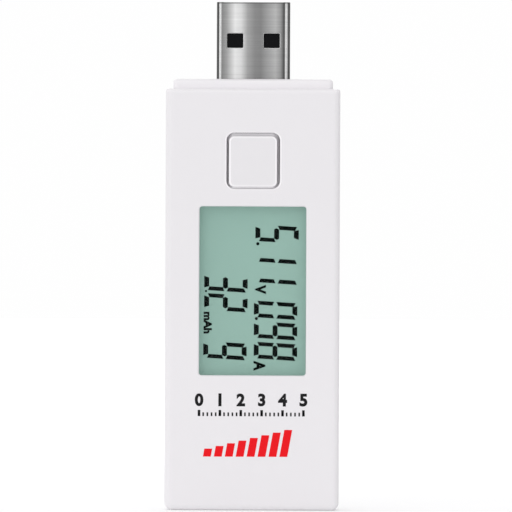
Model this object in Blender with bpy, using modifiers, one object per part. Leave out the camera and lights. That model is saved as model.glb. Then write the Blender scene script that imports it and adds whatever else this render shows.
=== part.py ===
"""USB power meter: a white stick with a USB-A plug, a segment display, a push button and a USB-A socket.

X is the width, Y the depth (the display faces -Y) and Z the length, with the plug at the top.
Everything is in metres. The foot stands on z = 0 and the casing is centred on x = 0 and y = 0.
"""

import math

import bmesh
import bpy
from mathutils import Matrix, Vector

MM = 0.001

# ---------------------------------------------------------------- clearances
TOUCH = 0.1 * MM  # between pieces that rest on each other
REVEAL = 0.3 * MM  # round the button cap
EDGE_ROOM = 0.5 * MM  # between the circuit board and what it passes

# ---------------------------------------------------------------- casing
WALL = 1.5 * MM
FACE_RADIUS = 0.8 * MM  # fillet round the front and the back face
FOOT_RADIUS = 1.3 * MM  # corners of the foot, seen from the front
COLLAR_HEIGHT = 1.6 * MM
COLLAR_STEP = 1.2 * MM  # the collar is this much narrower than the casing, on every side
COLLAR_RADIUS = 0.8 * MM
LIP_THICKNESS = 0.6 * MM  # lip of the front half that enters the back half
LIP_HEIGHT = 0.8 * MM

BOSS_RADIUS = 2.2 * MM
BOSS_SIDE_ROOM = 0.5 * MM  # from a screw boss to the side wall
BOSS_END_ROOM = 1.3 * MM  # from a screw boss to the end wall
PILOT_RADIUS = 0.95 * MM
SCREW_RADIUS = 0.85 * MM
SCREW_HEAD_RADIUS = 1.55 * MM
SCREW_HEAD_HEIGHT = 1.0 * MM
SCREW_HEAD_RIM = 0.4 * MM  # straight part of the head's side, under its crown
SCREW_SUNK = 0.7 * MM  # the head's top lies this deep in the back face
SCREW_GRIP = 4.0 * MM  # length of shank in the front half
RECESS_WIDTH = 0.45 * MM  # arms of the cross in the screw's head
RECESS_SPAN = 1.9 * MM
RECESS_DEPTH = 0.55 * MM
REST_POST_RADIUS = 0.8 * MM  # posts of the back half that hold the board

# ---------------------------------------------------------------- display, across and along
WINDOW_WIDTH = 17.46 * MM
WINDOW_HEIGHT = 27.6 * MM
WINDOW_RADIUS = 0.45 * MM
GLASS_SIDE_MARGIN = 1.07 * MM  # rear glass beyond the window, each side
GLASS_END_MARGIN = 0.9 * MM
POLARISER_INSET = 0.2 * MM
LENS_LAP = 1.0 * MM  # the lens flange beyond the window
ZEBRA_WIDTH = 1.0 * MM
FRAME_WALL = 1.0 * MM
FRAME_ROOM = 0.6 * MM  # between the display frame and the side wall
RIM_LAP = 0.5 * MM  # the frame's rim over the edge of the glass
PEG_RADIUS = 0.4 * MM
PEG_X = 9.0 * MM
PEG_LENGTH = 1.3 * MM
LED_WIDTH = 3.2 * MM
LED_HEIGHT = 1.2 * MM
LED_X = 5.0 * MM

# ---------------------------------------------------------------- display, front to back
LENS_SUNK = 0.2 * MM
LENS_FLANGE = 0.7 * MM
FRAME_RIM = 0.3 * MM
GLASS = 1.0 * MM
POLARISER = 0.2 * MM
DIFFUSER = 1.6 * MM
BOARD_THICKNESS = 1.6 * MM
BACK_ROOM = 3.9 * MM  # between the board and the back wall

# ---------------------------------------------------------------- stretches along the front
STRIP_BELOW_DISPLAY = 3.9 * MM  # socket tails to display frame
BUTTON_ABOVE_DISPLAY = 0.9 * MM  # display frame to button opening
BUTTON_TO_SHOULDER = 7.2 * MM

# ---------------------------------------------------------------- button and its switch
OPENING_WIDTH = 8.55 * MM
OPENING_HEIGHT = 9.0 * MM
OPENING_RADIUS = 1.45 * MM
CAP_PROUD = 0.2 * MM
CAP_WALL = 1.0 * MM
CAP_EDGE = 0.25 * MM
EAR_REACH = 1.0 * MM  # ears that keep the cap behind the wall
EAR_HEIGHT = 5.0 * MM
EAR_THICKNESS = 0.5 * MM
STEM_SIZE = 3.0 * MM
PRESS_TRAVEL = 0.25 * MM
SWITCH_SIZE = 6.0 * MM
SWITCH_HEIGHT = 4.3 * MM  # board to the tip of the plunger
BASE_HEIGHT = 3.2 * MM
BASE_FLOOR = 1.0 * MM
COVER_SHEET = 0.2 * MM
WELL_RADIUS = 2.2 * MM
PLUNGER_RADIUS = 1.75 * MM
PLUNGER_FLANGE_RADIUS = 2.05 * MM
PLUNGER_FLANGE = 0.5 * MM
DOME_RADIUS = 1.95 * MM
DOME_RISE = 0.25 * MM
DOME_SHEET = 0.12 * MM

# ---------------------------------------------------------------- plug
PLUG_WIDTH = 12.0 * MM
PLUG_DEPTH = 4.5 * MM
PLUG_SHEET = 0.3 * MM
PLUG_CORNER = 0.6 * MM
PLUG_REACH = 12.6 * MM  # beyond the collar
PLUG_ROOT = 6.1 * MM  # inside the casing
PLUG_HOLE_WIDTH = 2.5 * MM
PLUG_HOLE_HEIGHT = 2.25 * MM
PLUG_HOLE_SPACING = 5.98 * MM
PLUG_HOLE_FROM_TIP = 5.15 * MM
PLUG_TAB_LENGTH = 2.3 * MM  # soldering tabs at the plug's root
PLUG_TAB_LAP = 0.9 * MM  # how far the tabs reach past the board, front and back
PLUG_BLOCK = 3.4 * MM  # full-depth root of the insulator
INSULATOR_SUNK = 0.6 * MM

# ---------------------------------------------------------------- contacts
CONTACT_WIDTH = 1.0 * MM
CONTACT_THICKNESS = 0.3 * MM
CONTACT_PROUD = 0.1 * MM
CONTACT_X = (-3.5 * MM, -1.0 * MM, 1.0 * MM, 3.5 * MM)
POWER_CONTACT_SUNK = 1.3 * MM
DATA_CONTACT_SUNK = 2.3 * MM
TAIL_LAP = 1.5 * MM  # tails on the board

# ---------------------------------------------------------------- socket
SOCKET_WIDTH = 13.2 * MM
SOCKET_DEPTH = 5.8 * MM
SOCKET_SHEET = 0.35 * MM
SOCKET_CORNER = 0.6 * MM
SOCKET_LENGTH = 14.0 * MM
SOCKET_SUNK = 0.2 * MM
SOCKET_FORWARD = 0.35 * MM  # brings the socket's contacts onto the board's front
SOCKET_BLOCK = 2.4 * MM
SOCKET_TAB_REACH = 1.4 * MM
SOCKET_TAB_HEIGHT = 3.0 * MM
TONGUE_WIDTH = 11.0 * MM
TONGUE_THICKNESS = 1.6 * MM
TONGUE_SUNK = 1.2 * MM
SLOT_ROOM = 0.4 * MM  # round the socket, in the board

# ---------------------------------------------------------------- parts on the board's back
ROW_GAP = 1.5 * MM
SHUNT_SIZE = (6.3 * MM, 0.6 * MM, 3.2 * MM)
SHUNT_COAT = (4.3 * MM, 0.8 * MM)
SMALL_CHIP_SIZE = (3.9 * MM, 1.4 * MM, 4.9 * MM)
SMALL_CHIP_X = 5.2 * MM
SMALL_CHIP_LEGS = 4  # each side
CONTROLLER_SIZE = (7.0 * MM, 1.4 * MM, 7.0 * MM)
CONTROLLER_LEGS = 8  # each side
REGULATOR_SIZE = (6.5 * MM, 1.6 * MM, 3.5 * MM)
REGULATOR_X = -4.6 * MM
REGULATOR_LEGS = 3
REGULATOR_TAB = 3.0 * MM
CRYSTAL_SIZE = (5.0 * MM, 1.2 * MM, 3.2 * MM)
CRYSTAL_X = 5.2 * MM
CRYSTAL_CORNER = 0.6 * MM
LEG_REACH = 1.0 * MM
LEG_ROOT = 0.4 * MM  # how far a leg runs into its chip
LEG_WIDTH = 0.4 * MM
LEG_THICKNESS = 0.35 * MM
LEG_PITCH = 1.27 * MM
FINE_LEG_PITCH = 0.8 * MM
CAPACITOR_RADIUS = 2.0 * MM
CAPACITOR_HEIGHT = 3.4 * MM
CAPACITOR_BASE = 4.3 * MM
CAPACITOR_BASE_HEIGHT = 0.8 * MM
CAPACITOR_X = 4.5 * MM
CAPACITOR_BELOW_TOP = 5.8 * MM  # from the board's top edge to the cans' axes

ROUND = 24  # sides of a round piece
FILLET = 3  # steps of a fillet
DOME_RINGS = 4


# ================================================================ places worked out from the sizes
def after(span, thickness):
    """The span of a layer that lies behind another one."""
    return (span[1] + TOUCH, span[1] + TOUCH + thickness)


def around(centre, size):
    """The span of this size about a centre."""
    return (centre - size / 2, centre + size / 2)


def grown(span, by):
    return (span[0] - by, span[1] + by)


def middle(span):
    return (span[0] + span[1]) / 2


# Depth: the casing is as deep as what it holds.
LAYER_GAPS = 7
DISPLAY_STACK = LENS_FLANGE + FRAME_RIM + 2 * GLASS + POLARISER + DIFFUSER + LAYER_GAPS * TOUCH
DEPTH = 2 * WALL + DISPLAY_STACK + BOARD_THICKNESS + BACK_ROOM
FRONT_Y = -DEPTH / 2
BACK_Y = DEPTH / 2
FRONT_WALL_Y = (FRONT_Y, FRONT_Y + WALL)
BACK_WALL_Y = (BACK_Y - WALL, BACK_Y)
FLANGE_Y = after(FRONT_WALL_Y, LENS_FLANGE)
RIM_Y = after(FLANGE_Y, FRAME_RIM)
FRONT_GLASS_Y = after(RIM_Y, GLASS)
REAR_GLASS_Y = after(FRONT_GLASS_Y, GLASS)
REAR_POLARISER_Y = after(REAR_GLASS_Y, POLARISER)
DIFFUSER_Y = after(REAR_POLARISER_Y, DIFFUSER)
BOARD_Y = after(DIFFUSER_Y, BOARD_THICKNESS)
FRONT_POLARISER_Y = (FRONT_GLASS_Y[0] - TOUCH - POLARISER, FRONT_GLASS_Y[0] - TOUCH)
PARTING_Y = BOARD_Y[0]
CONTACT_Y = (BOARD_Y[0] - TOUCH - CONTACT_THICKNESS, BOARD_Y[0] - TOUCH)

# Width: window, glass ledges, connector strips, frame, wall.
REAR_GLASS_X = around(0, WINDOW_WIDTH + 2 * GLASS_SIDE_MARGIN)
ZEBRA_X = (REAR_GLASS_X[1] + TOUCH, REAR_GLASS_X[1] + TOUCH + ZEBRA_WIDTH)
FRONT_GLASS_X = (-ZEBRA_X[1] - TOUCH, ZEBRA_X[1] + TOUCH)
FRAME_INNER_X = grown(FRONT_GLASS_X, TOUCH)
FRAME_X = grown(FRAME_INNER_X, FRAME_WALL)
CAVITY_X = grown(FRAME_X, FRAME_ROOM)
CASING_X = grown(CAVITY_X, WALL)
COLLAR_X = grown(CASING_X, -COLLAR_STEP)
COLLAR_CAVITY_X = grown(COLLAR_X, -WALL)
BOARD_X = grown(CAVITY_X, -EDGE_ROOM)

# Length, from the foot up.
SOCKET_Z = (SOCKET_SUNK, SOCKET_SUNK + SOCKET_LENGTH)
SLOT_END_Z = SOCKET_Z[1] + SLOT_ROOM
SOCKET_TAIL_Z = SLOT_END_Z + TAIL_LAP
FRAME_FOOT_Z = SOCKET_TAIL_Z + STRIP_BELOW_DISPLAY
WINDOW_FOOT_Z = FRAME_FOOT_Z + FRAME_WALL + TOUCH + GLASS_END_MARGIN
WINDOW_Z = (WINDOW_FOOT_Z, WINDOW_FOOT_Z + WINDOW_HEIGHT)
GLASS_Z = grown(WINDOW_Z, GLASS_END_MARGIN)
FRAME_INNER_Z = grown(GLASS_Z, TOUCH)
FRAME_Z = grown(FRAME_INNER_Z, FRAME_WALL)
OPENING_FOOT_Z = FRAME_Z[1] + BUTTON_ABOVE_DISPLAY
OPENING_Z = (OPENING_FOOT_Z, OPENING_FOOT_Z + OPENING_HEIGHT)
BUTTON_Z = middle(OPENING_Z)
SHOULDER_Z = OPENING_Z[1] + BUTTON_TO_SHOULDER
COLLAR_TOP_Z = SHOULDER_Z + COLLAR_HEIGHT
CAVITY_Z = (WALL, SHOULDER_Z - WALL)
PLUG_Z = (COLLAR_TOP_Z - PLUG_ROOT, COLLAR_TOP_Z + PLUG_REACH)
BOARD_TOP_Z = PLUG_Z[0] - SLOT_ROOM

# Screws.
BOSS_X = CAVITY_X[1] - BOSS_SIDE_ROOM - BOSS_RADIUS
BOSS_Z = (CAVITY_Z[0] + BOSS_END_ROOM + BOSS_RADIUS, CAVITY_Z[1] - BOSS_END_ROOM - BOSS_RADIUS)
BOSS_PLACES = [(side * BOSS_X, height) for height in BOSS_Z for side in (-1, 1)]
BOARD_Z = (BOSS_Z[0] + BOSS_RADIUS + EDGE_ROOM, BOARD_TOP_Z)
REST_POST_X = BOARD_X[1] - REST_POST_RADIUS - TOUCH
REST_POST_PLACES = [(side * REST_POST_X, height) for height in FRAME_Z for side in (-1, 1)]

# Connectors. The socket and the plug meet the board with their contacts in one plane.
PLUG_Y = around(PARTING_Y, PLUG_DEPTH)
SOCKET_Y = around(PARTING_Y - SOCKET_FORWARD, SOCKET_DEPTH)

FAR = 5 * MM  # how far a cutter runs past what it cuts


# ================================================================ scene, materials and helpers
def empty_scene():
    for thing in list(bpy.data.objects):
        bpy.data.objects.remove(thing, do_unlink=True)


def new_collection(name):
    group = bpy.data.collections.new(name)
    bpy.context.scene.collection.children.link(group)
    return group


empty_scene()
PARTS = new_collection("usb_power_meter")
CUTTERS = new_collection("cutters")

# colour, roughness, metallic
WHITE_PLASTIC = ((0.80, 0.79, 0.80, 1.0), 0.45, 0.0)
BLACK_PLASTIC = ((0.015, 0.015, 0.016, 1.0), 0.5, 0.0)
CLEAR_PLASTIC = ((0.62, 0.72, 0.68, 0.35), 0.08, 0.0)
DISPLAY_GLASS = ((0.29, 0.44, 0.38, 1.0), 0.15, 0.0)
DARK_FILM = ((0.20, 0.30, 0.27, 1.0), 0.3, 0.0)
MILKY_PLASTIC = ((0.75, 0.80, 0.76, 1.0), 0.5, 0.0)
STRIPED_RUBBER = ((0.45, 0.22, 0.24, 1.0), 0.7, 0.0)
BOARD_GREEN = ((0.01, 0.12, 0.05, 1.0), 0.45, 0.0)
STEEL = ((0.62, 0.61, 0.60, 1.0), 0.25, 1.0)
GOLD_PLATE = ((0.85, 0.62, 0.25, 1.0), 0.25, 1.0)
TINNED_METAL = ((0.72, 0.72, 0.70, 1.0), 0.35, 1.0)
LED_BODY = ((0.85, 0.85, 0.70, 1.0), 0.4, 0.0)


def give_finish(thing, finish):
    """A material of the piece's own."""
    colour, roughness, metallic = finish
    material = bpy.data.materials.new(thing.name)
    material.use_nodes = True
    shader = material.node_tree.nodes["Principled BSDF"]
    shader.inputs["Base Color"].default_value = colour
    shader.inputs["Roughness"].default_value = roughness
    shader.inputs["Metallic"].default_value = metallic
    thing.data.materials.append(material)


def along(axis):
    """Whether an edge runs along an axis."""
    return lambda edge: abs((edge.verts[0].co - edge.verts[1].co).normalized()[axis]) > 0.999


def at_level(axis, level):
    """Whether an edge lies at one height along an axis."""
    return lambda edge: all(abs(vert.co[axis] - level) < 1e-6 for vert in edge.verts)


def round_edges(bm, edges, radius, steps=FILLET):
    bmesh.ops.bevel(
        bm, geom=edges, offset=radius, offset_type="OFFSET", segments=steps, profile=0.5,
        affect="EDGES", clamp_overlap=True,
    )


def add_block(bm, x, y, z, corner=0.0, corner_axis=1):
    """Put a block between three spans into bm, if asked with its edges along one axis rounded."""
    verts = bmesh.ops.create_cube(bm, size=1.0)["verts"]
    size = Vector((x[1] - x[0], y[1] - y[0], z[1] - z[0]))
    bmesh.ops.scale(bm, vec=size, verts=verts)
    bmesh.ops.translate(bm, vec=(middle(x), middle(y), middle(z)), verts=verts)
    if corner > 0:
        edges = {edge for vert in verts for edge in vert.link_edges}
        round_edges(bm, [edge for edge in edges if along(corner_axis)(edge)], corner)


def add_bar(bm, radius, x, y, z, sides=ROUND):
    """Put a round bar along Y into bm."""
    turn = Matrix.Rotation(math.radians(90), 4, "X")
    move = Matrix.Translation((x, middle(y), z))
    bmesh.ops.create_cone(
        bm, cap_ends=True, segments=sides, radius1=radius, radius2=radius,
        depth=y[1] - y[0], matrix=move @ turn,
    )


def add_object(name, bm, origin, group):
    """An object with its own origin, from a bmesh drawn where the piece goes."""
    mesh = bpy.data.meshes.new(name)
    bm.to_mesh(mesh)
    bm.free()
    mesh.transform(Matrix.Translation(-Vector(origin)))
    thing = bpy.data.objects.new(name, mesh)
    thing.location = origin
    group.objects.link(thing)
    return thing


def shade(thing, angle=35):
    thing.data.shade_smooth()
    thing.data.set_sharp_from_angle(angle=math.radians(angle))


def add_piece(name, bm, origin, finish):
    """A named sub-part."""
    thing = add_object(name, bm, origin, PARTS)
    give_finish(thing, finish)
    shade(thing)
    return thing


def block_piece(name, x, y, z, finish, corner=0.0, corner_axis=1):
    bm = bmesh.new()
    add_block(bm, x, y, z, corner, corner_axis)
    return add_piece(name, bm, (middle(x), middle(y), middle(z)), finish)


def helper(name, fill):
    """A hidden shape that cuts or adds to pieces. `fill` draws separate shapes into a bmesh."""
    bm = bmesh.new()
    fill(bm)
    thing = add_object(name, bm, (0, 0, 0), CUTTERS)
    thing.hide_render = True
    thing.display_type = "WIRE"
    return thing


def combine(piece, tool, operation):
    modifier = piece.modifiers.new(tool.name, "BOOLEAN")
    modifier.operation = operation
    modifier.solver = "EXACT"
    modifier.object = tool


def cut(piece, tool):
    combine(piece, tool, "DIFFERENCE")


def join(piece, tool):
    combine(piece, tool, "UNION")


def freeze(thing):
    """Make the modifiers' result the object's own mesh."""
    depsgraph = bpy.context.evaluated_depsgraph_get()
    mesh = bpy.data.meshes.new_from_object(thing.evaluated_get(depsgraph))
    thing.modifiers.clear()
    thing.data = mesh


def turned_piece(name, profile, place, finish, up=1, sides=ROUND):
    """A turned piece about the Y axis. The profile holds (radius, height) down its outer side.
    Height runs along +Y, or along -Y with up=-1."""
    mesh = bpy.data.meshes.new(name)
    points = [(radius, 0.0, height) for radius, height in profile]
    mesh.from_pydata(points, [(index, index + 1) for index in range(len(points) - 1)], [])
    thing = bpy.data.objects.new(name, mesh)
    PARTS.objects.link(thing)
    thing.location = place
    thing.rotation_euler = (math.radians(-90 * up), 0, 0)
    screw = thing.modifiers.new("turn", "SCREW")
    screw.axis = "Z"
    screw.angle = 2 * math.pi
    screw.steps = sides
    screw.render_steps = sides
    screw.use_merge_vertices = True
    screw.merge_threshold = 0.001 * MM
    freeze(thing)
    give_finish(thing, finish)
    shade(thing)
    return thing


# ================================================================ casing
def cavity_spans(by=0.0):
    """The hollow of the casing, and of its collar, seen from the front and grown by a margin."""
    body = (grown(CAVITY_X, by), grown(CAVITY_Z, by))
    collar = (grown(COLLAR_CAVITY_X, by), (SHOULDER_Z - WALL - FAR, COLLAR_TOP_Z - WALL + by))
    return body, collar


def half_body(outer_y, parting_y):
    """One half of the casing, solid, with a filleted outer face and rounded foot corners."""
    bm = bmesh.new()
    add_block(bm, CASING_X, (min(outer_y, parting_y), max(outer_y, parting_y)), (0, SHOULDER_Z))
    foot = [edge for edge in bm.edges if along(1)(edge) and at_level(2, 0)(edge)]
    round_edges(bm, foot, FOOT_RADIUS, FILLET + 1)
    face = [edge for edge in bm.edges if at_level(1, outer_y)(edge)]
    round_edges(bm, face, FACE_RADIUS)
    return bm


def collar_half(name, outer_y, parting_y):
    """The step that the plug comes out of, and its hollow."""
    inward = math.copysign(COLLAR_STEP, -outer_y)
    step_y = outer_y + inward
    y = (min(step_y, parting_y), max(step_y, parting_y))

    def fill(bm):
        add_block(bm, COLLAR_X, y, (SHOULDER_Z - WALL / 2, COLLAR_TOP_Z))
        corners = [edge for edge in bm.edges if along(2)(edge) and at_level(1, step_y)(edge)]
        round_edges(bm, corners, COLLAR_RADIUS)

    return helper(name, fill)


def hollow(piece, name, y_body, y_collar):
    body, collar = cavity_spans()
    cut(piece, helper(name + "_cavity", lambda bm: add_block(bm, body[0], y_body, body[1])))
    cut(piece, helper(name + "_collar_cavity", lambda bm: add_block(bm, collar[0], y_collar, collar[1])))


def lip_shapes(name, by, y):
    """The lip's outline over the hollow, as two helpers that overlap."""
    body, collar = cavity_spans(LIP_THICKNESS + by)
    return [
        helper(name + "_lip", lambda bm: add_block(bm, body[0], y, body[1])),
        helper(name + "_collar_lip", lambda bm: add_block(bm, collar[0], y, collar[1])),
    ]


def connector_openings():
    """The ways out for the plug and the socket, half in each shell."""
    plug_x = grown(around(0, PLUG_WIDTH), TOUCH)
    socket_x = grown(around(0, SOCKET_WIDTH), TOUCH)

    def fill(bm):
        add_block(bm, plug_x, grown(PLUG_Y, TOUCH), (PLUG_Z[0], PLUG_Z[1]), PLUG_CORNER, 2)
        add_block(bm, socket_x, grown(SOCKET_Y, TOUCH), (-FAR, SOCKET_Z[1]), SOCKET_CORNER, 2)

    return helper("connector_openings", fill)


def make_front_shell(openings):
    parting = PARTING_Y - TOUCH / 2
    shell = add_piece("front_shell", half_body(FRONT_Y, parting), (0, PARTING_Y, 0), WHITE_PLASTIC)
    join(shell, collar_half("front_collar", FRONT_Y, parting))
    for lip in lip_shapes("front", 0.0, (PARTING_Y - LIP_HEIGHT, PARTING_Y + LIP_HEIGHT)):
        join(shell, lip)
    inner = FRONT_WALL_Y[1]
    hollow(shell, "front", (inner, PARTING_Y + FAR), (inner + COLLAR_STEP, PARTING_Y + FAR))

    def bosses(bm):
        for x, z in BOSS_PLACES:
            add_bar(bm, BOSS_RADIUS, x, (FRONT_Y + WALL / 2, parting), z)

    def pilots(bm):
        for x, z in BOSS_PLACES:
            add_bar(bm, PILOT_RADIUS, x, (PARTING_Y - SCREW_GRIP - EDGE_ROOM, PARTING_Y + FAR), z)

    def face_openings(bm):
        through = (FRONT_Y - FAR, inner + TOUCH)
        add_block(bm, around(0, WINDOW_WIDTH), through, WINDOW_Z, WINDOW_RADIUS)
        add_block(bm, around(0, OPENING_WIDTH), through, OPENING_Z, OPENING_RADIUS)

    join(shell, helper("front_bosses", bosses))
    cut(shell, helper("front_pilots", pilots))
    cut(shell, helper("face_openings", face_openings))
    cut(shell, openings)


def make_back_shell(openings):
    parting = PARTING_Y + TOUCH / 2
    shell = add_piece("back_shell", half_body(BACK_Y, parting), (0, PARTING_Y, 0), WHITE_PLASTIC)
    join(shell, collar_half("back_collar", BACK_Y, parting))
    for lip in lip_shapes("back", TOUCH, (PARTING_Y - FAR, PARTING_Y + LIP_HEIGHT + TOUCH)):
        cut(shell, lip)
    inner = BACK_WALL_Y[0]
    hollow(shell, "back", (PARTING_Y - FAR, inner), (PARTING_Y - FAR, inner - COLLAR_STEP))
    seat = BACK_Y - SCREW_SUNK - SCREW_HEAD_HEIGHT - TOUCH

    def posts(bm):
        for x, z in BOSS_PLACES:
            add_bar(bm, BOSS_RADIUS, x, (parting, BACK_Y - WALL / 2), z)
        for x, z in REST_POST_PLACES:
            add_bar(bm, REST_POST_RADIUS, x, (BOARD_Y[1] + TOUCH, BACK_Y - WALL / 2), z)

    def shank_holes(bm):
        for x, z in BOSS_PLACES:
            add_bar(bm, PILOT_RADIUS, x, (PARTING_Y - FAR, BACK_Y - WALL / 2), z)

    def head_holes(bm):
        for x, z in BOSS_PLACES:
            add_bar(bm, SCREW_HEAD_RADIUS + TOUCH, x, (seat, BACK_Y + FAR), z)

    join(shell, helper("back_posts", posts))
    cut(shell, helper("back_shank_holes", shank_holes))
    cut(shell, helper("back_head_holes", head_holes))
    cut(shell, openings)


def make_case_screws():
    """Pan-head self-tapping screws that go in from the back."""
    seat_y = BACK_Y - SCREW_SUNK - SCREW_HEAD_HEIGHT
    shank = seat_y - PARTING_Y + SCREW_GRIP
    rise = SCREW_HEAD_HEIGHT - SCREW_HEAD_RIM
    quarter = [math.pi / 2 * step / FILLET for step in range(FILLET + 1)]
    crown = [(SCREW_HEAD_RADIUS * math.sin(turn), SCREW_HEAD_RIM + rise * math.cos(turn)) for turn in quarter]
    profile = crown + [
        (SCREW_HEAD_RADIUS, 0.0),
        (SCREW_RADIUS, 0.0),
        (SCREW_RADIUS, SCREW_RADIUS - shank),
        (0.0, -shank),
    ]
    recess_y = (seat_y + SCREW_HEAD_HEIGHT - RECESS_DEPTH, seat_y + SCREW_HEAD_HEIGHT + FAR)
    for number, (x, z) in enumerate(BOSS_PLACES, start=1):
        screw = turned_piece(f"case_screw_{number}", profile, (x, seat_y, z), STEEL)
        long_x, long_z = around(x, RECESS_SPAN), around(z, RECESS_SPAN)
        short_x, short_z = around(x, RECESS_WIDTH), around(z, RECESS_WIDTH)
        for way, spans in (("flat", (long_x, short_z)), ("upright", (short_x, long_z))):
            arm = helper(
                f"screw_{number}_{way}_arm",
                lambda bm, spans=spans: add_block(bm, spans[0], recess_y, spans[1]),
            )
            cut(screw, arm)


# ================================================================ display
def make_display_lens():
    """The clear window, stepped so that its flange stays behind the wall."""
    boss_x = grown(around(0, WINDOW_WIDTH), -TOUCH)
    boss_z = grown(WINDOW_Z, -TOUCH)
    flange_x = grown(around(0, WINDOW_WIDTH), LENS_LAP)
    flange_z = grown(WINDOW_Z, LENS_LAP - TOUCH)
    lens = block_piece("display_lens", flange_x, FLANGE_Y, flange_z, CLEAR_PLASTIC)
    boss_y = (FRONT_Y + LENS_SUNK, middle(FLANGE_Y))
    join(lens, helper("lens_boss", lambda bm: add_block(bm, boss_x, boss_y, boss_z, WINDOW_RADIUS)))


def make_glass_and_films():
    film_x = grown(REAR_GLASS_X, -POLARISER_INSET)
    film_z = grown(GLASS_Z, -POLARISER_INSET)
    rim_z = grown(GLASS_Z, -RIM_LAP - TOUCH)
    block_piece("front_polariser", film_x, FRONT_POLARISER_Y, rim_z, DARK_FILM)
    block_piece("display_front_glass", FRONT_GLASS_X, FRONT_GLASS_Y, GLASS_Z, DISPLAY_GLASS)
    block_piece("display_rear_glass", REAR_GLASS_X, REAR_GLASS_Y, GLASS_Z, DISPLAY_GLASS)
    block_piece("rear_polariser", film_x, REAR_POLARISER_Y, film_z, DARK_FILM)
    diffuser = block_piece("backlight_diffuser", film_x, DIFFUSER_Y, film_z, MILKY_PLASTIC)
    led_y = (DIFFUSER_Y[0] + TOUCH, DIFFUSER_Y[1])
    led_z = (film_z[0] + TOUCH, film_z[0] + TOUCH + LED_HEIGHT)
    notch_y = grown(DIFFUSER_Y, FAR)
    notch_z = (film_z[0] - FAR, led_z[1] + TOUCH)

    def notches(bm):
        for side in (-1, 1):
            add_block(bm, around(side * LED_X, LED_WIDTH + 2 * TOUCH), notch_y, notch_z)

    cut(diffuser, helper("led_notches", notches))
    for number, side in enumerate((-1, 1), start=1):
        block_piece(f"backlight_led_{number}", around(side * LED_X, LED_WIDTH), led_y, led_z, LED_BODY)


def make_zebra_strips():
    """Rubber strips that carry the display's signals from the glass ledges down to the board."""
    strip_y = (FRONT_GLASS_Y[1] + TOUCH, BOARD_Y[0] - TOUCH)
    strip_z = grown(GLASS_Z, -POLARISER_INSET)
    block_piece("zebra_strip_left", (-ZEBRA_X[1], -ZEBRA_X[0]), strip_y, strip_z, STRIPED_RUBBER)
    block_piece("zebra_strip_right", ZEBRA_X, strip_y, strip_z, STRIPED_RUBBER)


def peg_places():
    heights = (FRAME_Z[0] + FRAME_WALL / 2, FRAME_Z[1] - FRAME_WALL / 2)
    return [(side * PEG_X, height) for height in heights for side in (-1, 1)]


def make_display_frame():
    """The moulded frame that holds the glass, pegged into the board."""
    frame_y = (RIM_Y[0], BOARD_Y[0] - TOUCH)
    frame = block_piece("display_frame", FRAME_X, frame_y, FRAME_Z, BLACK_PLASTIC)
    pocket_y = (RIM_Y[1], BOARD_Y[0] + FAR)
    sight_x = grown(FRONT_GLASS_X, -RIM_LAP)
    sight_z = grown(GLASS_Z, -RIM_LAP)

    def pegs(bm):
        for x, z in peg_places():
            add_bar(bm, PEG_RADIUS, x, (BOARD_Y[0] - 2 * FRAME_WALL, BOARD_Y[0] + PEG_LENGTH), z, 12)

    cut(frame, helper("glass_pocket", lambda bm: add_block(bm, FRAME_INNER_X, pocket_y, FRAME_INNER_Z)))
    cut(frame, helper("frame_sight", lambda bm: add_block(bm, sight_x, grown(RIM_Y, FAR), sight_z)))
    join(frame, helper("frame_pegs", pegs))


# ================================================================ button and switch
def make_button_cap():
    """The square cap, hollow behind, with two ears and a stem that meets the switch."""
    axis = (0, FRONT_Y, BUTTON_Z)
    cap_x = grown(around(0, OPENING_WIDTH), -REVEAL)
    cap_z = grown(OPENING_Z, -REVEAL)
    front = FRONT_Y - CAP_PROUD
    ear_y = (FRONT_WALL_Y[1] + TOUCH, FRONT_WALL_Y[1] + TOUCH + EAR_THICKNESS)
    bm = bmesh.new()
    add_block(bm, cap_x, (front, ear_y[1]), cap_z, OPENING_RADIUS - REVEAL)
    round_edges(bm, [edge for edge in bm.edges if at_level(1, front)(edge)], CAP_EDGE, 2)
    cap = add_piece("button_cap", bm, axis, WHITE_PLASTIC)
    ear_x = around(0, OPENING_WIDTH + 2 * EAR_REACH)
    ear_z = around(BUTTON_Z, EAR_HEIGHT)
    pocket_y = (front + CAP_WALL, ear_y[1] + FAR)
    stem_y = (front + CAP_WALL / 2, BOARD_Y[0] - TOUCH - SWITCH_HEIGHT - TOUCH)
    stem_x, stem_z = around(0, STEM_SIZE), around(BUTTON_Z, STEM_SIZE)
    pocket_x, pocket_z = grown(cap_x, -CAP_WALL), grown(cap_z, -CAP_WALL)
    join(cap, helper("cap_ears", lambda bm: add_block(bm, ear_x, ear_y, ear_z)))
    cut(cap, helper("cap_pocket", lambda bm: add_block(bm, pocket_x, pocket_y, pocket_z)))
    join(cap, helper("cap_stem", lambda bm: add_block(bm, stem_x, stem_y, stem_z)))


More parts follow.
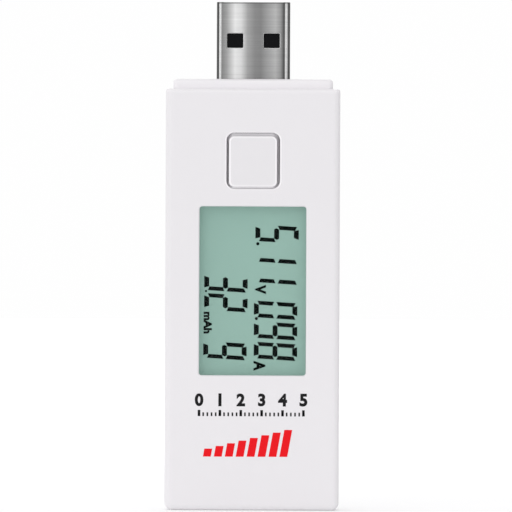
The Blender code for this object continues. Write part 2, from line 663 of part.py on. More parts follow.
def make_switch():
    """A push switch of four pieces: base, sheet cover, snap dome and plunger."""
    foot_y = BOARD_Y[0] - TOUCH
    size_x, size_z = around(0, SWITCH_SIZE), around(BUTTON_Z, SWITCH_SIZE)
    base_y = (foot_y - BASE_HEIGHT, foot_y)
    cover_y = (base_y[0] - TOUCH - COVER_SHEET, base_y[0] - TOUCH)
    floor_y = foot_y - BASE_FLOOR
    base = block_piece("switch_base", size_x, base_y, size_z, BLACK_PLASTIC)
    well_y = (base_y[0] - FAR, floor_y)
    cut(base, helper("switch_well", lambda bm: add_bar(bm, WELL_RADIUS, 0, well_y, BUTTON_Z)))
    cover = block_piece("switch_cover", size_x, cover_y, size_z, STEEL)
    hole_y = grown(cover_y, FAR)
    hole_radius = PLUNGER_RADIUS + TOUCH
    cut(cover, helper("cover_hole", lambda bm: add_bar(bm, hole_radius, 0, hole_y, BUTTON_Z)))

    dome_foot_y = floor_y - TOUCH
    shares = [step / DOME_RINGS for step in range(DOME_RINGS + 1)]
    bow = [(DOME_RADIUS * share, DOME_RISE * (1 - share ** 2)) for share in shares]
    outside = [(radius, rise + DOME_SHEET) for radius, rise in bow]
    turned_piece("switch_dome", outside + bow[::-1], (0, dome_foot_y, BUTTON_Z), STEEL, up=-1)

    apex_y = dome_foot_y - DOME_RISE - DOME_SHEET
    back = apex_y - TOUCH - PRESS_TRAVEL
    front = foot_y - SWITCH_HEIGHT
    flange = (cover_y[1] + TOUCH, cover_y[1] + TOUCH + PLUNGER_FLANGE)
    profile = [
        (0.0, back),
        (PLUNGER_RADIUS, back),
        (PLUNGER_RADIUS, flange[1]),
        (PLUNGER_FLANGE_RADIUS, flange[1]),
        (PLUNGER_FLANGE_RADIUS, flange[0]),
        (PLUNGER_RADIUS, flange[0]),
        (PLUNGER_RADIUS, front),
        (0.0, front),
    ]
    profile = [(radius, y - FRONT_Y) for radius, y in profile]
    turned_piece("switch_plunger", profile, (0, FRONT_Y, BUTTON_Z), BLACK_PLASTIC)


# ================================================================ plug and socket
def contact_shapes(z):
    """The ways for four contacts through an insulator."""
    def fill(bm):
        for x in CONTACT_X:
            add_block(bm, around(x, CONTACT_WIDTH + 2 * TOUCH), grown(CONTACT_Y, TOUCH), z)
    return fill


def make_contacts(name, z_of):
    for number, x in enumerate(CONTACT_X, start=1):
        block_piece(f"{name}_{number}", around(x, CONTACT_WIDTH), CONTACT_Y, z_of(x), GOLD_PLATE)


def contact_sunk(x):
    """The outer pair carries the power and meets first."""
    return POWER_CONTACT_SUNK if abs(x) == max(CONTACT_X) else DATA_CONTACT_SUNK


def make_plug():
    """A folded steel shell with latch windows, its insulator and four contacts."""
    plug_x = around(0, PLUG_WIDTH)
    inner_x, inner_y = grown(plug_x, -PLUG_SHEET), grown(PLUG_Y, -PLUG_SHEET)
    tab_z = (PLUG_Z[0] - PLUG_TAB_LENGTH, PLUG_Z[0] + PLUG_SHEET)
    tab_y = (BOARD_Y[0] - PLUG_TAB_LAP, BOARD_Y[1] + PLUG_TAB_LAP / 2)
    hole_z = (PLUG_Z[1] - PLUG_HOLE_FROM_TIP - PLUG_HOLE_HEIGHT, PLUG_Z[1] - PLUG_HOLE_FROM_TIP)
    shell = block_piece("plug_shell", plug_x, PLUG_Y, PLUG_Z, STEEL, PLUG_CORNER, 2)
    inner_corner = PLUG_CORNER - PLUG_SHEET

    def latch_windows(bm):
        for side in (-1, 1):
            window_x = around(side * PLUG_HOLE_SPACING / 2, PLUG_HOLE_WIDTH)
            add_block(bm, window_x, grown(PLUG_Y, FAR), hole_z)

    def tabs(bm):
        add_block(bm, (inner_x[1], plug_x[1]), tab_y, tab_z)
        add_block(bm, (plug_x[0], inner_x[0]), tab_y, tab_z)

    hollow_z = grown(PLUG_Z, FAR)
    cut(shell, helper("plug_hollow", lambda bm: add_block(bm, inner_x, inner_y, hollow_z, inner_corner, 2)))
    cut(shell, helper("latch_windows", latch_windows))
    join(shell, helper("plug_tabs", tabs))

    core_x, core_y = grown(inner_x, -TOUCH), grown(inner_y, -TOUCH)
    core_z = (PLUG_Z[0] + PLUG_SHEET, PLUG_Z[1] - INSULATOR_SUNK)
    blade_y = (core_y[0], CONTACT_Y[1] - CONTACT_PROUD)
    core = block_piece("plug_insulator", core_x, core_y, core_z, BLACK_PLASTIC, inner_corner, 2)
    room_y = (blade_y[1], core_y[1] + FAR)
    room_z = (core_z[0] + PLUG_BLOCK, core_z[1] + FAR)
    cut(core, helper("plug_room", lambda bm: add_block(bm, grown(core_x, FAR), room_y, room_z)))
    cut(core, helper("plug_contact_ways", contact_shapes(grown(core_z, FAR))))
    tail_z = BOARD_Z[1] - TAIL_LAP
    make_contacts("plug_contact", lambda x: (tail_z, PLUG_Z[1] - contact_sunk(x)))


def make_socket():
    """The receptacle in the foot: a steel shell with side tabs, a tongue and four contacts."""
    socket_x = around(0, SOCKET_WIDTH)
    inner_x, inner_y = grown(socket_x, -SOCKET_SHEET), grown(SOCKET_Y, -SOCKET_SHEET)
    shell = block_piece("socket_shell", socket_x, SOCKET_Y, SOCKET_Z, STEEL, SOCKET_CORNER, 2)
    inner_corner = SOCKET_CORNER - SOCKET_SHEET
    tab_y = (CONTACT_Y[0], CONTACT_Y[1])
    tab_z = (BOARD_Z[0] + EDGE_ROOM, BOARD_Z[0] + EDGE_ROOM + SOCKET_TAB_HEIGHT)
    overlap = SOCKET_SHEET / 2

    def tabs(bm):
        add_block(bm, (socket_x[1] - overlap, socket_x[1] + SOCKET_TAB_REACH), tab_y, tab_z)
        add_block(bm, (socket_x[0] - SOCKET_TAB_REACH, socket_x[0] + overlap), tab_y, tab_z)

    hollow_z = grown(SOCKET_Z, FAR)
    cut(shell, helper("socket_hollow", lambda bm: add_block(bm, inner_x, inner_y, hollow_z, inner_corner, 2)))
    join(shell, helper("socket_tabs", tabs))

    core_x, core_y = grown(inner_x, -TOUCH), grown(inner_y, -TOUCH)
    core_z = (SOCKET_Z[1] - SOCKET_BLOCK, SOCKET_Z[1])
    core = block_piece("socket_insulator", core_x, core_y, core_z, BLACK_PLASTIC, inner_corner, 2)
    tongue_front = CONTACT_Y[0] + CONTACT_PROUD
    tongue_y = (tongue_front, tongue_front + TONGUE_THICKNESS)
    tongue_z = (SOCKET_Z[0] + TONGUE_SUNK, SOCKET_Z[1] - SOCKET_BLOCK / 2)
    tongue_x = around(0, TONGUE_WIDTH)
    join(core, helper("socket_tongue", lambda bm: add_block(bm, tongue_x, tongue_y, tongue_z)))
    cut(core, helper("socket_contact_ways", contact_shapes(grown(SOCKET_Z, FAR))))
    make_contacts("socket_contact", lambda x: (SOCKET_Z[0] + TONGUE_SUNK + contact_sunk(x), SOCKET_TAIL_Z))


# ================================================================ circuit board and its parts
def make_main_board():
    """The board, cut for the socket, the screw bosses, the plug's tabs and the frame's pegs."""
    board = block_piece("main_board", BOARD_X, BOARD_Y, BOARD_Z, BOARD_GREEN)
    through = grown(BOARD_Y, FAR)
    slot_x = grown(around(0, SOCKET_WIDTH), SLOT_ROOM)
    neck_x = BOSS_X - BOSS_RADIUS - EDGE_ROOM
    neck_z = (BOSS_Z[1] - BOSS_RADIUS - EDGE_ROOM, BOARD_Z[1] + FAR)
    tab_slot_z = (PLUG_Z[0] - PLUG_TAB_LENGTH - TOUCH, BOARD_Z[1] + FAR)
    tab_x = (PLUG_WIDTH / 2 - PLUG_SHEET - TOUCH, PLUG_WIDTH / 2 + TOUCH)

    def socket_slot(bm):
        add_block(bm, slot_x, through, (BOARD_Z[0] - FAR, SLOT_END_Z))

    def top_cuts(bm):
        add_block(bm, (neck_x, BOARD_X[1] + FAR), through, neck_z)
        add_block(bm, (BOARD_X[0] - FAR, -neck_x), through, neck_z)
        add_block(bm, tab_x, through, tab_slot_z)
        add_block(bm, (-tab_x[1], -tab_x[0]), through, tab_slot_z)

    def peg_holes(bm):
        for x, z in peg_places():
            add_bar(bm, PEG_RADIUS + TOUCH, x, through, z, 12)

    cut(board, helper("socket_slot", socket_slot))
    cut(board, helper("board_top_cuts", top_cuts))
    cut(board, helper("peg_holes", peg_holes))


def board_spans(size, x, z):
    """The spans of a part that lies on the board's back."""
    foot = BOARD_Y[1] + TOUCH
    return around(x, size[0]), (foot, foot + size[1]), around(z, size[2])


def add_legs(bm, x, z, count, pitch, width=LEG_WIDTH):
    """A row of legs under the left and the right side of a chip, spread along z."""
    leg_y = (BOARD_Y[1] + TOUCH, BOARD_Y[1] + TOUCH + LEG_THICKNESS)
    for number in range(count):
        leg_z = around(middle(z) + (number - (count - 1) / 2) * pitch, width)
        add_block(bm, (x[1] - LEG_ROOT, x[1] + LEG_REACH), leg_y, leg_z)
        add_block(bm, (x[0] - LEG_REACH, x[0] + LEG_ROOT), leg_y, leg_z)


def add_end_legs(bm, x, z, count, pitch):
    """The same along the upper and the lower side, spread along x."""
    leg_y = (BOARD_Y[1] + TOUCH, BOARD_Y[1] + TOUCH + LEG_THICKNESS)
    for number in range(count):
        leg_x = around(middle(x) + (number - (count - 1) / 2) * pitch, LEG_WIDTH)
        add_block(bm, leg_x, leg_y, (z[1] - LEG_ROOT, z[1] + LEG_REACH))
        add_block(bm, leg_x, leg_y, (z[0] - LEG_REACH, z[0] + LEG_ROOT))


def raised(y, by):
    """A chip's body stands on its legs."""
    return (y[0] + by, y[1] + by)


def make_small_chip(name, x_place, z_place):
    x, y, z = board_spans(SMALL_CHIP_SIZE, x_place, z_place)
    chip = block_piece(name, x, raised(y, TOUCH), z, BLACK_PLASTIC)
    join(chip, helper(name + "_legs", lambda bm: add_legs(bm, x, z, SMALL_CHIP_LEGS, LEG_PITCH)))


def make_controller_chip(z_place):
    x, y, z = board_spans(CONTROLLER_SIZE, 0, z_place)
    chip = block_piece("controller_chip", x, raised(y, TOUCH), z, BLACK_PLASTIC)

    def legs(bm):
        add_legs(bm, x, z, CONTROLLER_LEGS, FINE_LEG_PITCH)
        add_end_legs(bm, x, z, CONTROLLER_LEGS, FINE_LEG_PITCH)

    join(chip, helper("controller_legs", legs))


def make_voltage_regulator(z_place):
    x, y, z = board_spans(REGULATOR_SIZE, REGULATOR_X, z_place)
    part = block_piece("voltage_regulator", x, raised(y, TOUCH), z, BLACK_PLASTIC)
    leg_y = (y[0], y[0] + LEG_THICKNESS)
    tab_z = (z[1] - LEG_ROOT, z[1] + LEG_REACH)

    def legs(bm):
        add_block(bm, around(middle(x), REGULATOR_TAB), leg_y, tab_z)
        for number in range(REGULATOR_LEGS):
            leg_x = around(middle(x) + (number - (REGULATOR_LEGS - 1) / 2) * 2 * LEG_PITCH, 2 * LEG_WIDTH)
            add_block(bm, leg_x, leg_y, (z[0] - LEG_REACH, z[0] + LEG_ROOT))

    join(part, helper("regulator_legs", legs))


def make_shunt_resistor(z_place):
    """A metal strip with a thicker coat over its middle."""
    x, y, z = board_spans(SHUNT_SIZE, 0, z_place)
    strip = block_piece("shunt_resistor", x, y, z, TINNED_METAL)
    coat_x = around(0, SHUNT_COAT[0])
    coat_y = (middle(y), y[0] + SHUNT_COAT[1])
    coat_z = grown(z, -TOUCH)
    join(strip, helper("shunt_coat", lambda bm: add_block(bm, coat_x, coat_y, coat_z)))


def make_crystal(z_place):
    x, y, z = board_spans(CRYSTAL_SIZE, CRYSTAL_X, z_place)
    block_piece("crystal", x, y, z, TINNED_METAL, CRYSTAL_CORNER)


def make_capacitor(name, x_place):
    """An upright electrolytic can on its square moulded base."""
    foot = BOARD_Y[1] + TOUCH
    z_place = BOARD_Z[1] - CAPACITOR_BELOW_TOP
    base_y = (foot, foot + CAPACITOR_BASE_HEIGHT)
    base = block_piece(
        name, around(x_place, CAPACITOR_BASE), base_y, around(z_place, CAPACITOR_BASE), TINNED_METAL,
    )
    can_y = (middle(base_y), foot + CAPACITOR_HEIGHT)
    join(base, helper(name + "_can", lambda bm: add_bar(bm, CAPACITOR_RADIUS, x_place, can_y, z_place)))


def make_board_parts():
    """The parts stand in rows, each above the last one."""
    shunt_z = SLOT_END_Z + TAIL_LAP + SHUNT_SIZE[2] / 2
    make_shunt_resistor(shunt_z)
    chip_z = shunt_z + SHUNT_SIZE[2] / 2 + ROW_GAP + SMALL_CHIP_SIZE[2] / 2
    make_small_chip("amplifier_chip", -SMALL_CHIP_X, chip_z)
    make_small_chip("memory_chip", SMALL_CHIP_X, chip_z)
    controller_z = chip_z + SMALL_CHIP_SIZE[2] / 2 + ROW_GAP + LEG_REACH + CONTROLLER_SIZE[2] / 2
    make_controller_chip(controller_z)
    row_z = controller_z + CONTROLLER_SIZE[2] / 2 + 2 * LEG_REACH + ROW_GAP + REGULATOR_SIZE[2] / 2
    make_voltage_regulator(row_z)
    make_crystal(row_z)
    make_capacitor("input_capacitor", -CAPACITOR_X)
    make_capacitor("output_capacitor", CAPACITOR_X)


def build():
    openings = connector_openings()
    make_front_shell(openings)
    make_back_shell(openings)
    make_case_screws()
    make_display_lens()
    make_glass_and_films()
    make_zebra_strips()
    make_display_frame()
    make_button_cap()
    make_switch()
    make_plug()
    make_socket()
    make_main_board()
    make_board_parts()


build()
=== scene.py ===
# %% [markdown]
# # A pocket USB power meter
# A white moulded stick about 83 mm long: a steel plug at the top, a push button and a small liquid crystal
# display on the front, a socket in the foot. The solids of the part are already there as a fixed frame. This
# notebook dresses them: finer edges, fine materials, the digits, the print, and a plain studio to look at
# them in.

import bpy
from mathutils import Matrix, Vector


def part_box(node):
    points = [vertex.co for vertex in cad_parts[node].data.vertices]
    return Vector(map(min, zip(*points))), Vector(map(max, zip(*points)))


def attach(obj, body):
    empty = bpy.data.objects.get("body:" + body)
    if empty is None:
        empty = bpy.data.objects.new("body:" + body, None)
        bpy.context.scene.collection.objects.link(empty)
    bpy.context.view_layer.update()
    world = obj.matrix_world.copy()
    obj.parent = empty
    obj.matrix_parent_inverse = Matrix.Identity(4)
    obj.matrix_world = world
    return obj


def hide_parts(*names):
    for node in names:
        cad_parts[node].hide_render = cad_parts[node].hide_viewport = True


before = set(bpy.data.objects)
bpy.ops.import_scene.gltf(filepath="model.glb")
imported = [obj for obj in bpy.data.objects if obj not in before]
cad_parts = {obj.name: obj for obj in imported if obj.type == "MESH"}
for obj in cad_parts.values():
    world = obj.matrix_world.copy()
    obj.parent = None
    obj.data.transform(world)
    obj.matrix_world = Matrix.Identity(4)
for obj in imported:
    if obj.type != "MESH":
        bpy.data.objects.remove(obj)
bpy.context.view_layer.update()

# %% [markdown]
# ## Sizes
# Places come from the frame wherever a piece of the part already has them, so the looks follow the part when
# it changes. `span` gives one piece's stretch along an axis. Only sizes that the solids don't have, such as
# the radius of a soft edge, are written here as numbers.

# %% Places taken from the part
import math

import bmesh
import bpy
from mathutils import Matrix, Vector

MM = 0.001
X, Y, Z = 0, 1, 2


def span(node, axis):
    """Where a node of the part begins and ends along an axis."""
    low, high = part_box(node)
    return low[axis], high[axis]


def grown(stretch, by):
    return stretch[0] - by, stretch[1] + by


def around(centre, size):
    return centre - size / 2, centre + size / 2


CASING_X = span("front_shell", X)
FRONT_Y, BACK_Y = span("front_shell", Y)[0], span("back_shell", Y)[1]
PARTING_Y = (FRONT_Y + BACK_Y) / 2
COLLAR_TOP_Z = span("front_shell", Z)[1]
PLUG_X, PLUG_Y, PLUG_Z = (span("plug_shell", axis) for axis in (X, Y, Z))
FIELD_Y = span("front_polariser", Y)[0]
SOLID_CAP_Z = span("button_cap", Z)
CAP_X, CAP_Y = (-3.92 * MM, 3.96 * MM), span("button_cap", Y)
CAP_Z = (SOLID_CAP_Z[0] - 0.12 * MM, SOLID_CAP_Z[1] - 0.21 * MM)  # the cap hangs low in its opening
CAP_CORNER = 0.92 * MM
BUTTON_X = (-4.26 * MM, 4.37 * MM)  # the opening round the cap
BUTTON_Z = (SOLID_CAP_Z[0] - 0.34 * MM, SOLID_CAP_Z[1] + 0.28 * MM)
BUTTON_CORNER = 1.22 * MM
print("Casing from y", round(1000 * FRONT_Y, 2), "to", round(1000 * BACK_Y, 2), "mm")

# %% [markdown]
# ## The camera
# The photograph looks straight at the front from far away, so a very long lens two metres off gives the same
# nearly parallel view. The lens follows from the width that the picture has to cover, and the small roll and
# offset follow the slight lean of the object in the picture.

# %% Camera
VIEW_WIDTH = 83.39 * MM  # what the picture is wide, at the front face
VIEW_CENTRE_X = 0.57 * MM
VIEW_CENTRE_Z = 41.45 * MM
CAMERA_AWAY = 2.0
ROLL = math.radians(-0.25)


def new_object(name, data):
    thing = bpy.data.objects.new(name, data)
    bpy.context.scene.collection.objects.link(thing)
    return thing


camera_data = bpy.data.cameras.new("camera")
camera_data.sensor_width = 36.0
camera_data.lens = camera_data.sensor_width * CAMERA_AWAY / VIEW_WIDTH
camera = new_object("camera", camera_data)
camera.location = (VIEW_CENTRE_X, FRONT_Y - CAMERA_AWAY, VIEW_CENTRE_Z)
camera.rotation_euler = (math.pi / 2, ROLL, 0)
bpy.context.scene.camera = camera
print("Lens of", round(camera_data.lens), "mm")

# %% [markdown]
# ## Sums on shader values
# A pattern is often a sum of other values. Wiring a Math node by hand for each sign is slow to read, so
# `Number` wraps a socket and gives it Python's own signs: each one adds the Math node that it stands for.
# `Nodes.node` makes any other node. The same two serve materials, the sky and Geometry Nodes.

# %% A class for node trees
class Number:
    """A value in a node tree. Sums on it add Math nodes."""

    def __init__(self, nodes, socket):
        self.nodes, self.socket = nodes, socket

    def sum(self, operation, *values):
        return self.nodes.node("ShaderNodeMath", {"operation": operation}, dict(enumerate(values)))

    def __add__(self, other):
        return self.sum("ADD", self, other)

    def __sub__(self, other):
        return self.sum("SUBTRACT", self, other)

    def __rsub__(self, other):
        return self.sum("SUBTRACT", other, self)

    def __mul__(self, other):
        return self.sum("MULTIPLY", self, other)

    def __pow__(self, other):
        return self.sum("POWER", self, other)

    def __abs__(self):
        return self.sum("ABSOLUTE", self)

    __radd__, __rmul__ = __add__, __mul__

    def ramp(self, *stops):
        """Greys or colours blended along the value, as (value, colour) stops from 0 to 1."""
        return self.nodes.node("ShaderNodeValToRGB", {"stops": stops}, {"Fac": self})

    def between(self, low, high):
        """0 below low, 1 above high, and a smooth rise from one to the other."""
        inputs = {"Value": self, "From Min": low, "From Max": high}
        return self.nodes.node("ShaderNodeMapRange", {"interpolation_type": "SMOOTHSTEP"}, inputs)


def rgba(colour):
    """A colour socket's value from a grey or from three numbers."""
    return (colour,) * 3 + (1,) if isinstance(colour, (int, float)) else tuple(colour) + (1,)


class Nodes:
    """Adds nodes to a tree, whatever the tree is for."""

    def __init__(self, tree):
        self.tree = tree

    def feed(self, socket, value):
        """Links a socket or a Number to the input, or sets the input to a plain value."""
        if isinstance(value, Number):
            value = value.socket
        if isinstance(value, bpy.types.NodeSocket):
            self.tree.links.new(value, socket)
        else:
            socket.default_value = rgba(value) if socket.type == "RGBA" else value

    def node(self, kind, settings=None, inputs=None, out=0):
        """One node: its settings first, then its inputs by name or index. Gives its output `out`."""
        made = self.tree.nodes.new(kind)
        for name, value in (settings or {}).items():
            if name == "stops":
                self.set_stops(made.color_ramp.elements, value)
            else:
                setattr(made, name, value)
        for key, value in (inputs or {}).items():
            self.feed(made.inputs[key], value)
        return Number(self, made.outputs[out]) if len(made.outputs) else made

    @staticmethod
    def set_stops(elements, stops):
        while len(elements) > 1:
            elements.remove(elements[-1])
        for index, (position, colour) in enumerate(stops):
            element = elements[0] if index == 0 else elements.new(position)
            element.position = position
            element.color = rgba(colour)

    def place(self):
        """The point's place on the object, in metres."""
        return self.node("ShaderNodeTexCoord", out="Object")

    def stretched(self, place, scale):
        """The place times a scale for each axis, for patterns that run one way."""
        return self.node("ShaderNodeVectorMath", {"operation": "MULTIPLY"}, {0: place, 1: scale})

    def axis(self, place, name):
        return self.node("ShaderNodeSeparateXYZ", inputs={0: place}, out=name)

    def noise(self, place, size, detail=2.0, roughness=0.5):
        """Cloudy noise from 0 to 1 whose blobs are about `size` metres wide."""
        inputs = {"Vector": place, "Scale": 1 / size, "Detail": detail, "Roughness": roughness}
        return self.node("ShaderNodeTexNoise", inputs=inputs)

    def mix(self, share, first, second, blend="MIX"):
        """Two colours blended: sockets 6 and 7 are the node's colour inputs, and 2 its colour output."""
        settings = {"data_type": "RGBA", "blend_type": blend}
        return self.node("ShaderNodeMix", settings, {0: share, 6: first, 7: second}, out=2)

    def bump(self, height, depth, strength=1.0):
        """A normal for grooves and grain `depth` metres deep."""
        inputs = {"Height": height, "Distance": depth, "Strength": strength}
        return self.node("ShaderNodeBump", inputs=inputs)

    def vector(self, **parts):
        """A vector from its parts X, Y and Z."""
        return self.node("ShaderNodeCombineXYZ", inputs=parts)


def finish(name, paint):
    """A material whose Principled shader takes what `paint` returns: its inputs by name."""
    material = bpy.data.materials.new(name)
    material.use_nodes = True
    nodes = Nodes(material.node_tree)
    nodes.tree.nodes.clear()
    surface = nodes.node("ShaderNodeBsdfPrincipled", inputs=paint(nodes))
    nodes.node("ShaderNodeOutputMaterial", inputs={"Surface": surface})
    print("Finish:", name, "with", len(nodes.tree.nodes), "nodes")
    return material


# %% [markdown]
# ## White moulding
# The casing is white plastic with a satin skin. Up close such a skin has a very fine grain from the mould,
# and its gloss changes a little from place to place. Three noises of different size do it: one for the
# grain's bump, one for gloss, and a broad one that warms and cools the white by a hair. Towards the foot and
# on the collar the white is painted a few hundredths lighter, as it is in the picture: painted light, with a
# painted highlight on the shoulder's edge. The rounded rims of the cap and of its opening carry a painted
# highlight, mostly at the sides.

# %% White plastic
# Painted light along the casing, from the foot up: how much lighter the white is painted, which also puts a
# painted highlight on the shoulder's edge and the collar.
PAINTED_END_LIGHT_STOPS = ((0.0, 0.8), (0.7, 0.0), (0.967, 0.0), (0.973, 1.0), (1.0, 1.0))
# The whites of the painted light at the ends and of the painted highlight on the rims.
PAINTED_END_LIGHT_WHITE, PAINTED_HIGHLIGHT_WHITE = (0.856, 0.836, 0.860), (0.97, 0.95, 0.97)
HIGHLIGHT_ABOVE = 0.4  # how light a rim is above and below, against 1 at the sides
HIGHLIGHT_BACK = (0.3 * MM, 0.6 * MM)  # how far behind the front face the light rims fade
# Where the painted highlight band along a rim comes and where it goes, as ways out from the outline.
OPENING_HIGHLIGHT = ((0.04 * MM, 0.12 * MM), (0.22 * MM, 0.30 * MM))
CAP_HIGHLIGHT = ((-0.36 * MM, -0.28 * MM), (-0.10 * MM, -0.04 * MM))


def rim(n, place, x, z, corner, band):
    """1 in a band along a round-cornered rectangle's outline, as a painted highlight, less above and below
    it, and 0 elsewhere.
    """
    off = []
    for axis, (low, high) in (("X", x), ("Z", z)):
        past = abs(n.axis(place, axis) - (low + high) / 2) - ((high - low) / 2 - corner)
        off.append(past.sum("MAXIMUM", past, 0.0))
    away = (off[0] * off[0] + off[1] * off[1]) ** 0.5
    comes, goes = (away.between(corner + low, corner + high) for low, high in band)
    behind = n.axis(place, "Y").between(*(FRONT_Y + deep for deep in HIGHLIGHT_BACK))
    return comes * (1.0 - goes) * (1.0 - behind) * (off[0] * ((1 - HIGHLIGHT_ABOVE) / corner) + HIGHLIGHT_ABOVE)


def white_moulding(n):
    place = n.place()
    grain = n.noise(place, 0.22 * MM, detail=3)
    gloss = n.noise(place, 1.6 * MM)
    cloud = n.noise(place, 16 * MM)
    # Painted light: lighter towards the foot, and a painted highlight on the shoulder's edge and the collar.
    ends = (n.axis(place, "Z") * (1 / COLLAR_TOP_Z)).ramp(*PAINTED_END_LIGHT_STOPS)
    white = n.mix(cloud, (0.794, 0.775, 0.800), (0.808, 0.792, 0.811))
    # A painted highlight along the rounded rim of the button's opening.
    lit = rim(n, place, BUTTON_X, BUTTON_Z, BUTTON_CORNER, OPENING_HIGHLIGHT)
    return {
        "Base Color": n.mix(lit, n.mix(ends, white, PAINTED_END_LIGHT_WHITE), PAINTED_HIGHLIGHT_WHITE),
        "Roughness": 0.36 + 0.14 * gloss,
        "Specular IOR Level": 0.45,
        "Normal": n.bump(grain, 0.004 * MM, 0.6),
    }


def cap_moulding(n):
    place = n.place()
    grain = n.noise(place, 0.2 * MM, detail=3)
    wear = n.noise(place, 2.5 * MM)
    white = n.mix(wear, (0.770, 0.754, 0.776), (0.788, 0.772, 0.792))
    # The cap's rounded rim carries a painted highlight.
    return {
        "Base Color": n.mix(rim(n, place, CAP_X, CAP_Z, CAP_CORNER, CAP_HIGHLIGHT), white, PAINTED_HIGHLIGHT_WHITE),
        "Roughness": 0.28 + 0.14 * wear,
        "Specular IOR Level": 0.5,
        "Normal": n.bump(grain, 0.003 * MM, 0.5),
    }


WHITE = finish("white_moulding", white_moulding)
CAP_WHITE = finish("cap_moulding", cap_moulding)

# %% [markdown]
# ## Plated steel
# The plug is folded from thin sheet and nickel plated, with fine brushing across it. Brushed metal shows
# broad upright bands of reflection, because each fine groove spreads the light one way; here these bands are
# painted into the colour as painted reflection. Noise that is stretched along the grooves gives the lines,
# and a ramp across the width paints the reflection bands and a dark line along each folded edge. The ramp
# only acts near the broad faces, so that the narrow sides stay plain. The cut edges of the latch windows
# carry a painted highlight, and a painted line of shade runs along the mouth.

# %% Steel
# Painted reflection: bands of grey across the broad faces, with a dark line at each fold.
FACE_BAND = 0.5 * MM  # how far round the fold the bands of a broad face reach
PLUG_PAINTED_REFLECTION = (
    (0.0, 0.10), (0.030, 0.10), (0.038, 0.66), (0.058, 0.66), (0.070, 0.24), (0.14, 0.37), (0.25, 0.78),
    (0.33, 0.70), (0.42, 0.38), (0.52, 0.26), (0.60, 0.24), (0.70, 0.36), (0.80, 0.47), (0.87, 0.32),
    (0.910, 0.10), (0.925, 0.10), (0.935, 0.74), (0.962, 0.74), (0.972, 0.15), (1.0, 0.15),
)
SIDE_GREY = 0.6  # the narrow sides
RIM_REACH, RIM_FADE = 4.8 * MM, 0.2 * MM  # the latch windows lie within this of the middle
LATCH_HIGHLIGHT_DEPTH = 0.04 * MM  # their cut edges carry a painted highlight from here inwards
MOUTH_LINE, MOUTH_DEPTH = 0.36 * MM, 0.14 * MM  # a painted line of shade along the mouth, where the sheet turns in
MOUTH_SHADE_SHARE, MOUTH_SHADE_GREY = 0.6, 0.08
STREAKS, STREAK_MIDDLE = 0.4, 0.82  # how much the brushing lightens and darkens


def brushed(n, place):
    """Fine lines along X, as a value round 0.5."""
    fine = n.noise(n.stretched(place, (90, 400, 9000)), 1.0, detail=2)
    broad = n.noise(n.stretched(place, (60, 300, 1500)), 1.0, detail=1)
    return fine * 0.6 + broad * 0.4


def plug_steel(n):
    place = n.place()
    lines = brushed(n, place)
    half_wide, half_deep = ((side[1] - side[0]) / 2 for side in (PLUG_X, PLUG_Y))
    # Painted reflection bands, a painted highlight on the latch edges and a painted shade line at the mouth.
    painted_bands = (n.axis(place, "X") * (0.5 / half_wide) + 0.5).ramp(*PLUG_PAINTED_REFLECTION)
    off_face = abs(n.axis(place, "Y") - (PLUG_Y[0] + PLUG_Y[1]) / 2)
    on_face = off_face.between(half_deep - FACE_BAND, half_deep - FACE_BAND / 2)
    by_window = 1.0 - abs(n.axis(place, "X")).between(RIM_REACH, RIM_REACH + RIM_FADE)
    latch_highlight = (1.0 - off_face.between(half_deep - LATCH_HIGHLIGHT_DEPTH, half_deep - LATCH_HIGHLIGHT_DEPTH / 4)) * by_window
    mouth_shade_line = n.axis(place, "Z").between(PLUG_Z[1] - MOUTH_LINE, PLUG_Z[1] - MOUTH_LINE / 2)
    outside = off_face.between(half_deep - MOUTH_DEPTH, half_deep - MOUTH_DEPTH / 2)
    tone_and_painted_light = n.mix(mouth_shade_line * outside * MOUTH_SHADE_SHARE, n.mix(on_face, SIDE_GREY, painted_bands), MOUTH_SHADE_GREY)
    streaks = (lines - 0.5) * STREAKS + STREAK_MIDDLE
    grey = n.node("ShaderNodeCombineColor", inputs={part: streaks for part in range(3)})
    return {
        "Base Color": n.mix(1.0, n.mix(latch_highlight, tone_and_painted_light, 1.0), grey, "MULTIPLY"),
        "Metallic": 1.0,
        "Roughness": 0.24 + 0.16 * lines,
        "Normal": n.bump(lines, 0.01 * MM, 0.35),
    }


PLUG_STEEL = finish("plug_steel", plug_steel)

# %% [markdown]
# ## The small finishes
# Everything that the casing holds has a finish of its own, though little of it shows: black moulding with
# flecks of glass fibre, gold with a soft tarnish, tinned metal, the board's green lacquer over copper tracks,
# the banded rubber strips that carry the display's contacts, and the display's films and milky light guide.

# %% A short way to write a small finish
def coat(name, pattern, colours, gloss, grain=None, metallic=0.0, specular=0.5):
    """A finish that follows one pattern, or a pair: one for the colour and one for gloss and grain.

    `gloss` is the roughness where the pattern is 0 and what it gains where it is 1. `grain` is the depth and
    the strength of the bump.
    """

    def paint(n):
        found = pattern(n, n.place())
        tone, skin = found if isinstance(found, tuple) else (found, found)
        inputs = {"Base Color": n.mix(tone, *colours), "Roughness": gloss[0] + gloss[1] * skin}
        if grain:
            inputs["Normal"] = n.bump(skin, *grain)
        return inputs | {"Metallic": metallic, "Specular IOR Level": specular}

    return finish(name, paint)


def cells(size):
    return lambda n, place: n.node("ShaderNodeTexVoronoi", inputs={"Vector": place, "Scale": 1 / size})


def cloud(size, detail=2.0):
    return lambda n, place: n.noise(place, size, detail)


# %% Metals, black plastic and lamps
def smudged_sheet(n, place):
    return n.noise(place, 3 * MM), brushed(n, place)


def rubbed_gold(n, place):
    return n.noise(place, 1.2 * MM, detail=4), n.noise(n.stretched(place, (9000, 9000, 400)), 1.0)


def flecks(n, place):
    fleck = n.noise(n.stretched(place, (1, 1, 0.3)), 0.12 * MM, detail=4, roughness=0.7)
    return fleck.between(0.55, 0.75), fleck


